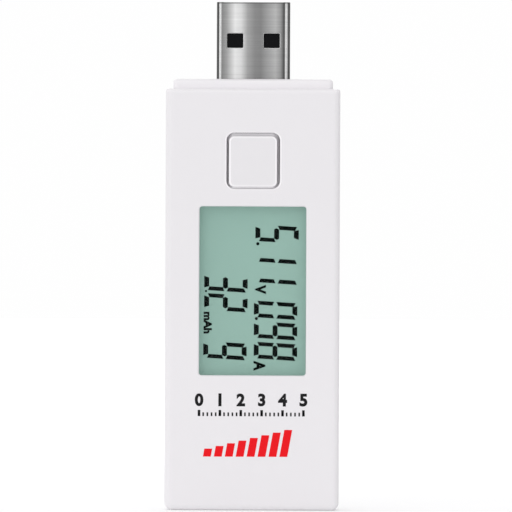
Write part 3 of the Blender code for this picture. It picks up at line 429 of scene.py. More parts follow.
SHEET_STEEL = coat(
    "sheet_steel", smudged_sheet, ((0.60, 0.59, 0.58), (0.72, 0.71, 0.70)),
    gloss=(0.22, 0.18), grain=(0.01 * MM, 0.3), metallic=1.0,
)
GOLD = coat(
    "gold_plate", rubbed_gold, ((0.86, 0.60, 0.22), (0.74, 0.47, 0.15)),
    gloss=(0.16, 0.2), grain=(0.004 * MM, 0.4), metallic=1.0,
)
TIN = coat(
    "tinned_metal", cells(0.5 * MM), ((0.74, 0.74, 0.73), (0.62, 0.62, 0.61)),
    gloss=(0.25, 0.2), grain=(0.01 * MM, 0.3), metallic=1.0,
)
BLACK = coat(
    "black_moulding", flecks, ((0.002, 0.002, 0.003), (0.008, 0.008, 0.009)),
    gloss=(0.42, 0.18), grain=(0.01 * MM, 0.5), specular=0.08,
)
LAMP = coat(
    "lamp_body", cloud(0.8 * MM), ((0.86, 0.84, 0.60), (0.90, 0.88, 0.72)),
    gloss=(0.2, 0.1), grain=(0.01 * MM, 0.3),
)

# %% Board and rubber strips
TRACK_PITCH = 0.9 * MM
STRIP_PITCH = 0.18 * MM
WEAVE_PITCH = 2.5 * MM


def to_and_fro(n, lanes):
    """Rises from 0 to 0.5 and falls back once in every lane."""
    return n.node("ShaderNodeMath", {"operation": "PINGPONG"}, {0: lanes, 1: 0.5})


def board_laminate(n):
    place = n.place()
    bend = n.noise(place, 5 * MM)
    lanes = n.axis(place, "X") * (1 / TRACK_PITCH) + bend * 3
    track = to_and_fro(n, lanes).between(0.2, 0.28)
    wave = {"Vector": place, "Scale": 1 / WEAVE_PITCH, "Distortion": 1.0}
    weave = n.node("ShaderNodeTexWave", inputs=wave, out=1)
    lacquer = n.mix(weave, (0.006, 0.085, 0.034), (0.008, 0.100, 0.042))
    return {
        "Base Color": n.mix(track, lacquer, (0.016, 0.170, 0.070)),
        "Roughness": 0.22 + 0.12 * weave,
        "Normal": n.bump(track, 0.03 * MM, 0.6),
    }


def stripes(n, place):
    return to_and_fro(n, n.axis(place, "Z") * (1 / STRIP_PITCH)).between(0.2, 0.3)


BOARD = finish("board_laminate", board_laminate)
RUBBER = coat(
    "striped_rubber", stripes, ((0.55, 0.20, 0.24), (0.02, 0.02, 0.02)),
    gloss=(0.75, -0.1), grain=(0.02 * MM, 0.5),
)

# %% [markdown]
# ## What is seen through the window
# A display of this kind is a sandwich: clear window, film, two sheets of glass with the liquid crystal
# between them, a second film and a light guide. Seen from outside, plastic and glass bring what lies behind
# them about a third closer, so the grey-green field and the digits seem to lie just behind the window. The
# front film therefore carries the field's colour, and the window before it is clear. The window turns
# mirror-like only at a low angle. Raising the slant to the fifth power is the usual short form of Fresnel's
# law, and as alpha it leaves the dark digits clear from the front. Part of the field's light is its own,
# because it is lit behind.

# %% Window, glass and films
FIELD_COLOUR = (0.285, 0.452, 0.394)
FIELD_OWN_LIGHT = 0.38
FIELD_LIT = tuple(0.7 * part for part in FIELD_COLOUR)  # what is left for the light from outside
FIELD_LIT_DARKER = tuple(0.96 * part for part in FIELD_LIT)
WINDOW_HAZE = 0.004
MIRROR_SHARE = 0.85


def clear_window(n):
    """A clear sheet: alpha is a little haze plus what it mirrors at a low angle."""
    smear = n.noise(n.place(), 4 * MM, detail=3)
    slanting = n.node("ShaderNodeLayerWeight", inputs={"Blend": 0.5}, out="Facing")
    return {
        "Base Color": 0.9,
        "Metallic": 1.0,
        "Roughness": 0.03 + 0.05 * smear,
        "Alpha": slanting ** 5 * MIRROR_SHARE + (0.7 + 0.6 * smear) * WINDOW_HAZE,
    }


def field(n):
    place = n.place()
    return {
        "Base Color": n.mix(n.noise(place, 5 * MM, detail=3), FIELD_LIT, FIELD_LIT_DARKER),
        "Roughness": 0.45 + 0.1 * n.noise(place, 0.15 * MM),
        "Specular IOR Level": 0.15,
        "Emission Color": FIELD_COLOUR,
        "Emission Strength": FIELD_OWN_LIGHT,
    }


def rolled(n, place):
    return n.noise(n.stretched(place, (200, 200, 2500)), 1.0)


WINDOW = finish("clear_window", clear_window)
FIELD = finish("display_field", field)
GLASS = coat(
    "tinted_glass", cloud(5 * MM, 3), ((0.20, 0.32, 0.27), (0.24, 0.37, 0.31)),
    gloss=(0.05, 0.05), grain=(0.002 * MM, 0.3),
)
MILKY = coat(
    "milky_guide", cells(0.6 * MM), ((0.80, 0.84, 0.80), (0.70, 0.76, 0.72)),
    gloss=(0.35, 0.1), grain=(0.01 * MM, 0.3),
)
DARK_FILM = coat(
    "dark_film", rolled, ((0.18, 0.28, 0.25), (0.22, 0.32, 0.28)), gloss=(0.25, 0.1), grain=(0.003 * MM, 0.3)
)

# %% [markdown]
# ## Finishes on the pieces that stay as they are
# Most of the small pieces already have the right shape. They keep their solids and only take a finish, by
# name.

# %% Assign finishes
# Each finish with the nodes that take it, by their whole name or by how it begins.
STAYING = [
    (WHITE, "front_shell back_shell"), (CAP_WHITE, "button_cap"), (PLUG_STEEL, "plug_shell"),
    (WINDOW, "display_lens"), (FIELD, "front_polariser"), (GLASS, "display_front_glass display_rear_glass"),
    (DARK_FILM, "rear_polariser"), (MILKY, "backlight_diffuser"), (LAMP, "backlight_led_"),
    (RUBBER, "zebra_strip_"), (BOARD, "main_board"), (GOLD, "plug_contact_ socket_contact_"),
    (TIN, "crystal input_capacitor output_capacitor"),
    (SHEET_STEEL, "socket_shell case_screw_ switch_cover switch_dome"),
    (BLACK, "display_frame switch_base switch_plunger plug_insulator socket_insulator controller_chip"),
    (BLACK, "amplifier_chip memory_chip voltage_regulator shunt_resistor"),
]


def give(thing, material):
    thing.data.materials.clear()
    thing.data.materials.append(material)


for material, starts in STAYING:
    for name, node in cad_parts.items():
        if name.startswith(tuple(starts.split())):
            give(node, material)
print("Finished", len(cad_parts), "pieces of the part")

# %% [markdown]
# ## Making solids
# The finer shells are lofts: a skin that runs through a row of rings, each a rectangle with round corners. A
# soft edge is a few rings that shrink along a quarter circle. Lofts are exact and light, where a Bevel
# modifier on a cut solid would stumble over the cuts. Openings are lofts too, cut out with a Boolean, and
# theirs flare at the mouth, which leaves a soft edge round the hole.

# %% Helpers for lofts and cuts
CORNER_STEPS, EDGE_STEPS = 7, 6
SAME_POINT = 0.001 * MM
SHARP = math.radians(32)


def mesh_of(name, bm):
    bmesh.ops.recalc_face_normals(bm, faces=bm.faces)
    mesh = bpy.data.meshes.new(name)
    bm.to_mesh(mesh)
    bm.free()
    return mesh


def outline(u, v, corners):
    """A rectangle with round corners as (u, v) points. `corners` are the radii at low and at high v."""
    low, high = corners
    centres = [
        (u[1] - low, v[0] + low, low, -90), (u[1] - high, v[1] - high, high, 0),
        (u[0] + high, v[1] - high, high, 90), (u[0] + low, v[0] + low, low, 180),
    ]
    points = []
    for centre_u, centre_v, radius, start in centres:
        for step in range(CORNER_STEPS + 1):
            angle = math.radians(start + 90 * step / CORNER_STEPS)
            points.append((centre_u + radius * math.cos(angle), centre_v + radius * math.sin(angle)))
    return points


def loft(name, rings, closed=False):
    """A solid whose skin runs through the rings, and if `closed` from the last one back to the first."""
    bm = bmesh.new()
    rows = [[bm.verts.new(point) for point in ring] for ring in rings]
    for low, high in zip(rows, rows[1:] + (rows[:1] if closed else [])):
        for i in range(len(low)):
            j = (i + 1) % len(low)
            bm.faces.new((low[i], low[j], high[j], high[i]))
    if not closed:
        bm.faces.new(rows[0])
        bm.faces.new(rows[-1])
    return new_object(name, mesh_of(name, bm))


def quarter():
    """Pairs that run along a quarter circle: how much the outline has shrunk, and how deep that is."""
    for step in range(EDGE_STEPS + 1):
        angle = math.radians(90 * step / EDGE_STEPS)
        yield 1 - math.sin(angle), 1 - math.cos(angle)


def circle(radius, sides, middle=(0, 0)):
    angles = [2 * math.pi * i / sides for i in range(sides)]
    return [(middle[0] + radius * math.cos(a), middle[1] + radius * math.sin(a)) for a in angles]


def block(x, y, z):
    bm = bmesh.new()
    size = Vector((x[1] - x[0], y[1] - y[0], z[1] - z[0]))
    middle = Vector((x[0] + x[1], y[0] + y[1], z[0] + z[1])) / 2
    bmesh.ops.create_cube(bm, size=1, matrix=Matrix.Translation(middle) @ Matrix.Diagonal((*size, 1)))
    return new_object("block", mesh_of("block", bm))


def evaluated_mesh(thing):
    """The object's mesh with its modifiers worked in."""
    bpy.context.view_layer.update()
    graph = bpy.context.evaluated_depsgraph_get()
    return bpy.data.meshes.new_from_object(thing.evaluated_get(graph))


def combine(thing, tool, operation):
    """Joins or cuts with another solid, which is used up."""
    modifier = thing.modifiers.new(operation, "BOOLEAN")
    modifier.operation = operation
    modifier.solver = "EXACT"
    modifier.object = tool
    mesh = evaluated_mesh(thing)
    thing.modifiers.remove(modifier)
    thing.data = mesh
    bpy.data.objects.remove(tool)
    return thing


def solid_of(node):
    """A copy of a node's solid with its loose triangles joined up."""
    bm = bmesh.new()
    bm.from_mesh(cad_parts[node].data)
    bmesh.ops.remove_doubles(bm, verts=bm.verts, dist=SAME_POINT)
    return new_object(node + "_copy", mesh_of(node + "_copy", bm))


def complete(thing, name, material, body="casing", replaced=()):
    """Names a finished piece, shades it, gives it its finish and its body, and hides the part's pieces that
    it stands for.
    """
    bm = bmesh.new()
    bm.from_mesh(thing.data)
    bmesh.ops.dissolve_degenerate(bm, edges=bm.edges, dist=SAME_POINT / 2)
    thing.data = mesh_of(name, bm)
    thing.name = name
    thing.data.shade_smooth()
    thing.data.set_sharp_from_angle(angle=SHARP)
    weighted = thing.modifiers.new("flat_faces_stay_flat", "WEIGHTED_NORMAL")
    weighted.keep_sharp = True
    give(thing, material)
    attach(thing, body)
    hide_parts(*replaced)
    print("Piece:", name, "with", len(thing.data.polygons), "faces")
    return thing


# %% [markdown]
# ## The casing
# Two halves meet at a fine V-groove that runs round the side. Outside, each half is a loft from its broad
# face to the parting line, with wide soft edges along the sides and a tighter one at the shoulder. Inside,
# the part's own solid already has the screw posts, the lip and the display's seat, so they are kept:
# everything just under the skin is the hollow that the solid leaves in a block, cut from the loft. The
# openings are cut last.

# %% Shell halves
SIDE_EDGE = 1.0 * MM
SHOULDER_EDGE, SHOULDER_CORNER = 0.5 * MM, 0.45 * MM
FOOT_CORNER = 1.3 * MM
COLLAR_EDGE, COLLAR_TOP_EDGE, COLLAR_CORNER = 0.8 * MM, 0.5 * MM, 0.6 * MM
COLLAR_STEP, COLLAR_HEIGHT = 1.2 * MM, 1.6 * MM
OVERLAP = 2 * MM  # how far the collar's loft begins inside the body's
PARTING_GAP, GROOVE = 0.1 * MM, 0.12 * MM
SKIN = 0.4 * MM  # the loft's own share of the wall
LIP_REACH = 0.85 * MM  # how far the front half reaches into the back half
TINY = 0.05 * MM
SHOULDER_Z = COLLAR_TOP_Z - COLLAR_HEIGHT
COLLAR_X = grown(CASING_X, -COLLAR_STEP)


def half_form(x, z, face_y, to_y, edges, corners, lip_y):
    """A solid from the broad face to the parting line. `edges` are for the sides, the foot and the top."""
    side, foot, top = edges
    inward = math.copysign(1, to_y - face_y)

    def ring(y, shrunk, even=0.0):
        u = grown(x, -side * shrunk - even)
        v = (z[0] + foot * shrunk + even, z[1] - top * shrunk - even)
        radii = [max(corner - edge * shrunk, TINY) for corner, edge in zip(corners, (foot, top))]
        return [(across, y, up) for across, up in outline(u, v, radii)]

    rings = [ring(face_y + inward * side * deep, shrunk) for shrunk, deep in quarter()]
    rings += [ring(to_y - inward * GROOVE, 0), ring(to_y, 0, GROOVE)]
    if lip_y is not None:
        rings += [ring(to_y, 0, SKIN + TINY), ring(lip_y, 0, SKIN + TINY)]
    return loft("half", rings)


def shell_half(node, face_y, to_y, lip_y):
    """One half of the casing, with the solid's own inside."""
    inward = math.copysign(1, to_y - face_y)
    shell = half_form(
        CASING_X, (0, SHOULDER_Z), face_y, to_y,
        (SIDE_EDGE, SIDE_EDGE, SHOULDER_EDGE), (FOOT_CORNER, SHOULDER_CORNER), lip_y,
    )
    collar = half_form(
        COLLAR_X, (SHOULDER_Z - OVERLAP, COLLAR_TOP_Z), face_y + inward * COLLAR_STEP, to_y,
        (COLLAR_EDGE, 0, COLLAR_TOP_EDGE), (TINY, COLLAR_CORNER), lip_y,
    )
    combine(shell, collar, "UNION")
    past = to_y + inward * (LIP_REACH + 4 * TINY)
    core_y = sorted((face_y + inward * SKIN, past))
    neck_y = sorted((face_y + inward * (COLLAR_STEP + SKIN), past))
    hollow = block(grown(CASING_X, -SKIN), core_y, (SKIN, SHOULDER_Z - SKIN))
    neck = block(grown(COLLAR_X, -SKIN), neck_y, (SHOULDER_Z - OVERLAP, COLLAR_TOP_Z - SKIN))
    combine(hollow, neck, "UNION")
    combine(hollow, solid_of(node), "DIFFERENCE")
    return combine(shell, hollow, "DIFFERENCE")


HALF_GAP = PARTING_GAP / 2
front = shell_half("front_shell", FRONT_Y, PARTING_Y - HALF_GAP, PARTING_Y + LIP_REACH)
back = shell_half("back_shell", BACK_Y, PARTING_Y + HALF_GAP, None)
print("Shell halves:", len(front.data.polygons), "and", len(back.data.polygons), "faces")

# %% Openings in the shells
WALL = 1.5 * MM
OVER = 0.005 * MM  # a cutter stands this far off the wall it follows
WINDOW_X, WINDOW_Z = (-8.64 * MM, 8.73 * MM), (22.0 * MM, 49.5 * MM)
WINDOW_CORNER = 0.45 * MM
SOFT_EDGE, CONNECTOR_EDGE, HOLE_EDGE = 0.28 * MM, 0.2 * MM, 0.15 * MM
CONNECTOR_ROOM, CONNECTOR_CORNER = 0.1 * MM, 0.6 * MM
PLUG_WAY_X, SOCKET_WAY_X = (-6.1 * MM, 6.1 * MM), (-6.7 * MM, 6.7 * MM)
SCREW_WAY = 1.66 * MM
SCREWS = [f"case_screw_{i}" for i in range(1, 5)]
SCREW_PLACES = [(sum(span(screw, X)) / 2, sum(span(screw, Z)) / 2) for screw in SCREWS]


def from_face(y, inward):
    """Turns an opening's (u, v, depth) into a point behind a face that looks along Y."""
    return lambda u, v, depth: (u, y + inward * depth, v)


def from_end(z, inward):
    """Turns an opening's (u, v, depth) into a point behind a face that looks along Z."""
    return lambda u, v, depth: (u, v, z + inward * depth)


def cut_opening(thing, u, v, corner, edge, place, depth=WALL):
    """Cuts a round-cornered opening with a soft edge at its mouth."""
    levels = [(-1 * MM, 1.0)] + [(edge * deep, shrunk) for shrunk, deep in quarter()] + [(depth, 0.0)]
    rings = []
    for deep, wide in levels:
        grow = edge * wide
        points = outline(grown(u, grow), grown(v, grow), (corner + grow,) * 2)
        rings.append([place(across, up, deep) for across, up in points])
    combine(thing, loft("opening", rings), "DIFFERENCE")


for shell in (front, back):
    for node, way_x, place in (
        ("plug_shell", PLUG_WAY_X, from_end(COLLAR_TOP_Z, -1)), ("socket_shell", SOCKET_WAY_X, from_end(0, 1))
    ):
        way_y = grown(span(node, Y), CONNECTOR_ROOM)
        cut_opening(shell, way_x, way_y, CONNECTOR_CORNER, CONNECTOR_EDGE, place)
for x, z, corner in ((WINDOW_X, WINDOW_Z, WINDOW_CORNER), (BUTTON_X, BUTTON_Z, BUTTON_CORNER)):
    cut_opening(front, grown(x, OVER), grown(z, OVER), corner, SOFT_EDGE, from_face(FRONT_Y, 1))
for x, z in SCREW_PLACES:
    hole_x, hole_z = around(x, 2 * SCREW_WAY), around(z, 2 * SCREW_WAY)
    cut_opening(back, hole_x, hole_z, SCREW_WAY - SAME_POINT, HOLE_EDGE, from_face(BACK_Y, -1))
complete(front, "casing_front", WHITE, replaced=["front_shell"])
complete(back, "casing_back", WHITE, replaced=["back_shell"])

# %% [markdown]
# ## The button
# The cap stands a fifth of a millimetre proud, with a small round edge that catches the light, and its finish
# adds a painted highlight along that edge. Behind its edge a skirt fills most of the opening, so that no dust
# falls in and the gap looks grey, not black, and thin wings behind the wall close the slit that is left. The
# cap's front is a loft, and the ears and the stem behind it are the solid's own. It moves with the button's
# body.

# %% Button cap
CAP_EDGE = 0.26 * MM
CAP_PLATE = 1.7 * MM
SIDE_ROOM, END_ROOM = 0.1 * MM, 0.04 * MM  # between the skirt and the opening
SKIRT_SIDE, SKIRT_TOP, SKIRT_FOOT = 1.35 * MM, 0.6 * MM, 0.2 * MM  # how deep the skirt's front lies
EAR_THICK, WING_REACH = 0.5 * MM, 0.3 * MM


def cap_outline(inset):
    return outline(grown(CAP_X, -inset), grown(CAP_Z, -inset), (CAP_CORNER - inset,) * 2)


def skirt_depths():
    """The depth of the skirt's front at each point of an outline: it rises round the corners."""
    for corner in range(4):
        for step in range(CORNER_STEPS + 1):
            upward = math.sin(math.radians(90 * (corner - 1 + step / CORNER_STEPS)))
            end = SKIRT_TOP if upward > 0 else SKIRT_FOOT
            yield FRONT_Y + SKIRT_SIDE + (end - SKIRT_SIDE) * upward ** 2


def ring_at(points, depths):
    """A ring of the cap from (u, v) points. `depths` is one y for all of them, or a list."""
    if not isinstance(depths, list):
        depths = [depths] * len(points)
    return [(across, y, up) for (across, up), y in zip(points, depths)]


skirt = outline(grown(BUTTON_X, -SIDE_ROOM), grown(BUTTON_Z, -END_ROOM), (BUTTON_CORNER - SIDE_ROOM,) * 2)
skirt_front = list(skirt_depths())
plate_y = CAP_Y[0] + CAP_PLATE
rings = [ring_at(cap_outline(CAP_EDGE * shrunk), CAP_Y[0] + CAP_EDGE * deep) for shrunk, deep in quarter()]
rings += [ring_at(cap_outline(0), skirt_front), ring_at(skirt, skirt_front), ring_at(skirt, plate_y)]
cap = loft("cap_front", rings)
rear = solid_of("button_cap")
combine(rear, block(grown(BUTTON_X, 4 * MM), (plate_y - TINY, 0), grown(SOLID_CAP_Z, MM)), "INTERSECT")
combine(cap, rear, "UNION")
wing_y = (CAP_Y[1] - EAR_THICK, CAP_Y[1] - TINY)
combine(cap, block(grown(BUTTON_X, WING_REACH), wing_y, grown(BUTTON_Z, -TINY)), "UNION")
complete(cap, "button", CAP_WHITE, body="button", replaced=["button_cap"])

# %% [markdown]
# ## The plug
# A plug's shell is a folded tube of 0.3 mm sheet with round edges, two latch windows in each broad face and a
# seam along the back. The tube is a loft of a ring outside and a ring inside, the windows are flared cutters,
# and the seam is a narrow slot with one keyed step, as the folded edges interlock.

# %% Plug shell
SHEET, FOLD, LIP_EDGE = 0.3 * MM, 0.62 * MM, 0.1 * MM
ROOT_Z = 64.6 * MM  # the tube begins here, above the part's own root of the plug
LATCH_X, LATCH_WIDTH = 2.99 * MM, 2.56 * MM
LATCH_Z = (75.45 * MM, 77.75 * MM)
LATCH_CORNER, LATCH_EDGE = 0.14 * MM, 0.2 * MM
SEAM_WIDTH, SEAM_DEPTH = 0.06 * MM, 0.12 * MM
KEY_STEP = 1.1 * MM  # how far the seam steps aside
KEY_Z = (LATCH_Z[0] - 4 * MM, LATCH_Z[0] - 1.5 * MM)


def tube_ring(level, inset):
    points = outline(grown(PLUG_X, -inset), grown(PLUG_Y, -inset), (max(FOLD - inset, TINY),) * 2)
    return [(across, deep, level) for across, deep in points]


rings = [tube_ring(PLUG_Z[1] - LIP_EDGE * deep, LIP_EDGE * shrunk) for shrunk, deep in quarter()]
rings += [tube_ring(ROOT_Z, 0), tube_ring(ROOT_Z, SHEET)]
rings += [tube_ring(PLUG_Z[1] - LIP_EDGE, SHEET), tube_ring(PLUG_Z[1], SHEET - LIP_EDGE / 2)]
plug = loft("plug_tube", rings, closed=True)
root = solid_of("plug_shell")
below = block(grown(PLUG_X, 2 * MM), grown(PLUG_Y, 2 * MM), (PLUG_Z[0] - MM, ROOT_Z + TINY))
combine(root, below, "INTERSECT")
combine(plug, root, "UNION")
for side in (-1, 1):
    latch_x = around(side * LATCH_X, LATCH_WIDTH)
    for place in (from_face(PLUG_Y[0], 1), from_face(PLUG_Y[1], -1)):
        cut_opening(plug, latch_x, LATCH_Z, LATCH_CORNER, LATCH_EDGE, place, depth=1 * MM)
seams = [
    (around(0, SEAM_WIDTH), (KEY_Z[1], PLUG_Z[1] + MM)), (around(KEY_STEP, SEAM_WIDTH), KEY_Z),
    (around(0, SEAM_WIDTH), (COLLAR_TOP_Z - MM, KEY_Z[0])),
]
seams += [((-SEAM_WIDTH / 2, KEY_STEP + SEAM_WIDTH / 2), around(level, SEAM_WIDTH)) for level in KEY_Z]
for x, z in seams:
    combine(plug, block(x, (PLUG_Y[1] - SEAM_DEPTH, PLUG_Y[1] + MM), z), "DIFFERENCE")
complete(plug, "plug_steel_shell", PLUG_STEEL, replaced=["plug_shell"])

# %% [markdown]
# ## Screws
# Four small screws hold the halves together from behind. A turned profile gives the crowned head and the
# threaded shank, a cross is cut into it, and Geometry Nodes set one on each screw's place with its own turn,
# because no two screws stop at the same angle.

# %% One screw
HEAD_RADIUS, HEAD_RIM, HEAD_HEIGHT = 1.55 * MM, 0.4 * MM, 1.0 * MM
SHANK_RADIUS, THREAD_PITCH, THREAD_DEPTH = 0.85 * MM, 0.6 * MM, 0.12 * MM
TIP, THREAD_START, THREAD_END = 0.3 * MM, 0.5 * MM, 1.0 * MM
CROSS_WIDTH, CROSS_SPAN, CROSS_DEPTH = 0.45 * MM, 1.9 * MM, 0.55 * MM
NEARLY_ZERO = 0.02 * MM  # a turned profile stops just short of its axis
TURNED_SIDES = 32
SCREW_Y = span(SCREWS[0], Y)
SCREW_LENGTH = SCREW_Y[1] - SCREW_Y[0]

profile = [(NEARLY_ZERO, -SCREW_LENGTH), (SHANK_RADIUS / 2, -SCREW_LENGTH + TIP)]
turns = int((SCREW_LENGTH - HEAD_HEIGHT - THREAD_END) / THREAD_PITCH)
for turn in range(turns):
    y = -SCREW_LENGTH + THREAD_START + turn * THREAD_PITCH
    profile += [(SHANK_RADIUS - THREAD_DEPTH, y), (SHANK_RADIUS, y + THREAD_PITCH / 2)]
profile += [(SHANK_RADIUS - THREAD_DEPTH, -HEAD_HEIGHT), (HEAD_RADIUS, -HEAD_HEIGHT)]
for step in range(EDGE_STEPS + 1):
    angle = math.radians(90 * step / EDGE_STEPS)
    rise = (HEAD_HEIGHT - HEAD_RIM) * math.sin(angle)
    profile.append((max(HEAD_RADIUS * math.cos(angle), NEARLY_ZERO), -HEAD_HEIGHT + HEAD_RIM + rise))
screw = loft("one_screw", [[(x, y, z) for x, z in circle(radius, TURNED_SIDES)] for radius, y in profile])
half_cross, half_arm = CROSS_SPAN / 2, CROSS_WIDTH / 2
for x, z in ((half_cross, half_arm), (half_arm, half_cross)):
    combine(screw, block((-x, x), (-CROSS_DEPTH, MM), (-z, z)), "DIFFERENCE")
print("One screw:", len(screw.data.polygons), "faces,", turns, "threads")

# %% Set the screws with Geometry Nodes
def node_group(name, sockets):
    """An empty Geometry Nodes tree: its nodes, its named inputs, and the identifiers of these."""
    tree = bpy.data.node_groups.new(name, "GeometryNodeTree")
    tree.interface.new_socket("Geometry", in_out="INPUT", socket_type="NodeSocketGeometry")
    tree.interface.new_socket("Geometry", in_out="OUTPUT", socket_type="NodeSocketGeometry")
    names = {}
    for label, kind in sockets.items():
        socket = tree.interface.new_socket(label, in_out="INPUT", socket_type="NodeSocket" + kind)
        names[label] = socket.identifier
    return Nodes(tree), tree.nodes.new("NodeGroupInput").outputs, names


def set_on(nodes, points, piece, **turned):
    """Sets a piece on each point and makes the copies real."""
    inputs = {"Points": points, "Instance": piece, **turned}
    placed = nodes.node("GeometryNodeInstanceOnPoints", inputs=inputs)
    return nodes.node("GeometryNodeRealizeInstances", inputs={"Geometry": placed})


def close_group(nodes, geometry, material):
    """Gives the geometry its material and ends the tree."""
    coated = nodes.node("GeometryNodeSetMaterial", inputs={"Geometry": geometry, "Material": material})
    nodes.node("NodeGroupOutput", inputs={"Geometry": coated})


def piece_of(nodes, thing):
    return nodes.node("GeometryNodeObjectInfo", inputs={"Object": thing}, out="Geometry")


def moved(nodes, geometry, offset):
    return nodes.node("GeometryNodeSetPosition", inputs={"Geometry": geometry, "Offset": offset})


def position(nodes, axis):
    return nodes.axis(nodes.node("GeometryNodeInputPosition"), axis)


def grown_by_nodes(thing, tree, names, values):
    """Runs a tree on an object with its inputs set by identifier, and keeps the plain mesh."""
    modifier = thing.modifiers.new("pattern", "NODES")
    modifier.node_group = tree
    for label, value in values.items():
        modifier[names[label]] = value
    mesh = evaluated_mesh(thing)
    thing.modifiers.remove(modifier)
    thing.data = mesh
    return thing


sockets = {"Screw": "Object", "Turn": "Float", "Seed": "Int", "Metal": "Material"}
nodes, given, screw_inputs = node_group("set_screws", sockets)
chance = {"Min": 0.0, "Max": given["Turn"], "Seed": given["Seed"]}
turn_by = nodes.node("FunctionNodeRandomValue", {"data_type": "FLOAT"}, chance, out=1)
solid = set_on(nodes, given["Geometry"], piece_of(nodes, given["Screw"]), Rotation=nodes.vector(Y=turn_by))
close_group(nodes, solid, given["Metal"])

points = bpy.data.meshes.new("screw_places")
points.from_pydata([(x, SCREW_Y[1], z) for x, z in SCREW_PLACES], [], [])
values = {"Screw": screw, "Turn": math.pi / 2, "Seed": 4, "Metal": SHEET_STEEL}
screws = grown_by_nodes(new_object("screws", points), nodes.tree, screw_inputs, values)
bpy.data.objects.remove(screw)
complete(screws, "case_screws", SHEET_STEEL, replaced=SCREWS)

# %% [markdown]
# ## The display's digits
# The digits are made of seven bars each, printed a quarter turn round so that the stick is read lying down: a
# digit's top points to +X, and its right-hand side points down. The bars have slanted ends and the digits
# lean a little. One point per lit bar goes into a mesh, and Geometry Nodes set a bar on each point, turn it,
# and lean the whole row.

# %% The lit bars
BAR_ACROSS = 2.06 * MM  # between the lines of the left and right bars
BAR_STEP = 3.06 * MM  # from one level of bars to the next
DIGIT_PITCH = 3.355 * MM
LEAN = 0.062
# Length, thickness and slant of each kind of bar. The upper bars are the longer ones.
SHAPES = {
    "upper": (3.12 * MM, 0.66 * MM, 0.30 * MM), "lower": (2.70 * MM, 0.64 * MM, 0.26 * MM),
    "top": (1.60 * MM, 0.80 * MM, 0.24 * MM), "foot": (1.90 * MM, 0.80 * MM, 0.24 * MM),
    "middle": (1.90 * MM, 0.80 * MM, 0.20 * MM),
}
LIT = {"0": "abcdef", "1": "bc", "2": "abged", "3": "abgcd", "5": "afgcd", "8": "abcdefg", "9": "abcdfg"}
# For each bar: its kind, how far across, which level (1 is the middle), and how far it is turned.
BARS = {
    "a": ("top", 0.46, 2.05, 90), "b": ("upper", 1.0, 1.575, 180), "c": ("lower", 1.0, 0.505, 180),
    "d": ("foot", 0.5, 0.0, -90), "e": ("lower", 0.0, 0.505, 0), "f": ("upper", 0.0, 1.575, 0),
    "g": ("middle", 0.5, 1.0, 90),
}
# Each row: the text, its first digit's left line and its bottom bars, from the foot's corner of the casing.
ROWS = [
    ("511", 46.08 * MM, 0.86 * MM), ("098", 33.66 * MM, 0.67 * MM),
    ("32", 38.06 * MM, -7.45 * MM), ("9", 27.03 * MM, -7.57 * MM),
]
ROW_PITCH = {"32": 3.2 * MM}
# Each dot: its place and its radius.
DOTS = [
    (0.86 * MM, 43.45 * MM, 0.27 * MM), (0.68 * MM, 31.25 * MM, 0.25 * MM),
    (-7.55 * MM, 35.7 * MM, 0.17 * MM),
]
DOT_SIDES = 12
DIGIT_Y = FIELD_Y - 0.03 * MM
DIGIT_THICKNESS = 0.02 * MM


def plate(name, points, y):
    """A thin plate in the front's plane from (x, z) points."""
    sides = (y - DIGIT_THICKNESS / 2, y + DIGIT_THICKNESS / 2)
    return loft(name, [[(u, side, v) for u, v in points] for side in sides])


def bar_shape(kind):
    """A flat bar along X whose ends slant: the middle one on both sides, the others on the inner side."""
    length, thick, slant = SHAPES[kind]
    half, high = length / 2, thick / 2
    if kind == "middle":
        right = [(half - slant, high), (half, 0), (half - slant, -high)]
    else:
        right = [(half, high), (half - slant, -high)]
    return plate(kind + "_bar", right + [(-x, z) for x, z in reversed(right)], 0)


kinds = {kind: bar_shape(kind) for kind in SHAPES}
lit = {kind: [] for kind in kinds}
for text, first_z, foot_x in ROWS:
    for place_in_row, digit in enumerate(text):
        left_z = first_z - place_in_row * ROW_PITCH.get(text, DIGIT_PITCH)
        for bar in LIT[digit]:
            kind, across, level, turn = BARS[bar]
            place = (foot_x + level * BAR_STEP, DIGIT_Y, left_z - across * BAR_ACROSS)
            lit[kind].append((place, math.radians(turn), foot_x + BAR_STEP))
print("Lit bars:", {kind: len(bars) for kind, bars in lit.items()})

# %% Set the bars with Geometry Nodes
nodes, given, bar_inputs = node_group("set_bars", {"Bar": "Object", "Lean": "Float", "Ink": "Material"})
number = {"data_type": "FLOAT"}
turn_by = nodes.node("GeometryNodeInputNamedAttribute", number, {"Name": "turn"})
middle = nodes.node("GeometryNodeInputNamedAttribute", number, {"Name": "middle"})
solid = set_on(nodes, given["Geometry"], piece_of(nodes, given["Bar"]), Rotation=nodes.vector(Y=turn_by))
lean = (position(nodes, "X") - middle) * given["Lean"] * -1.0
close_group(nodes, moved(nodes, solid, nodes.vector(Z=lean)), given["Ink"])

DIGIT_COLOURS = ((0.0015, 0.0035, 0.0030), (0.0030, 0.0060, 0.0050))
DIGIT_INK = coat("digit_ink", cloud(0.3 * MM), DIGIT_COLOURS, gloss=(0.5, 0.1), specular=0.0)


def joined(things, name):
    """Several meshes as one new object. All the old objects go."""
    bm = bmesh.new()
    for thing in things:
        bm.from_mesh(thing.data)
        bpy.data.objects.remove(thing)
    return new_object(name, mesh_of(name, bm))


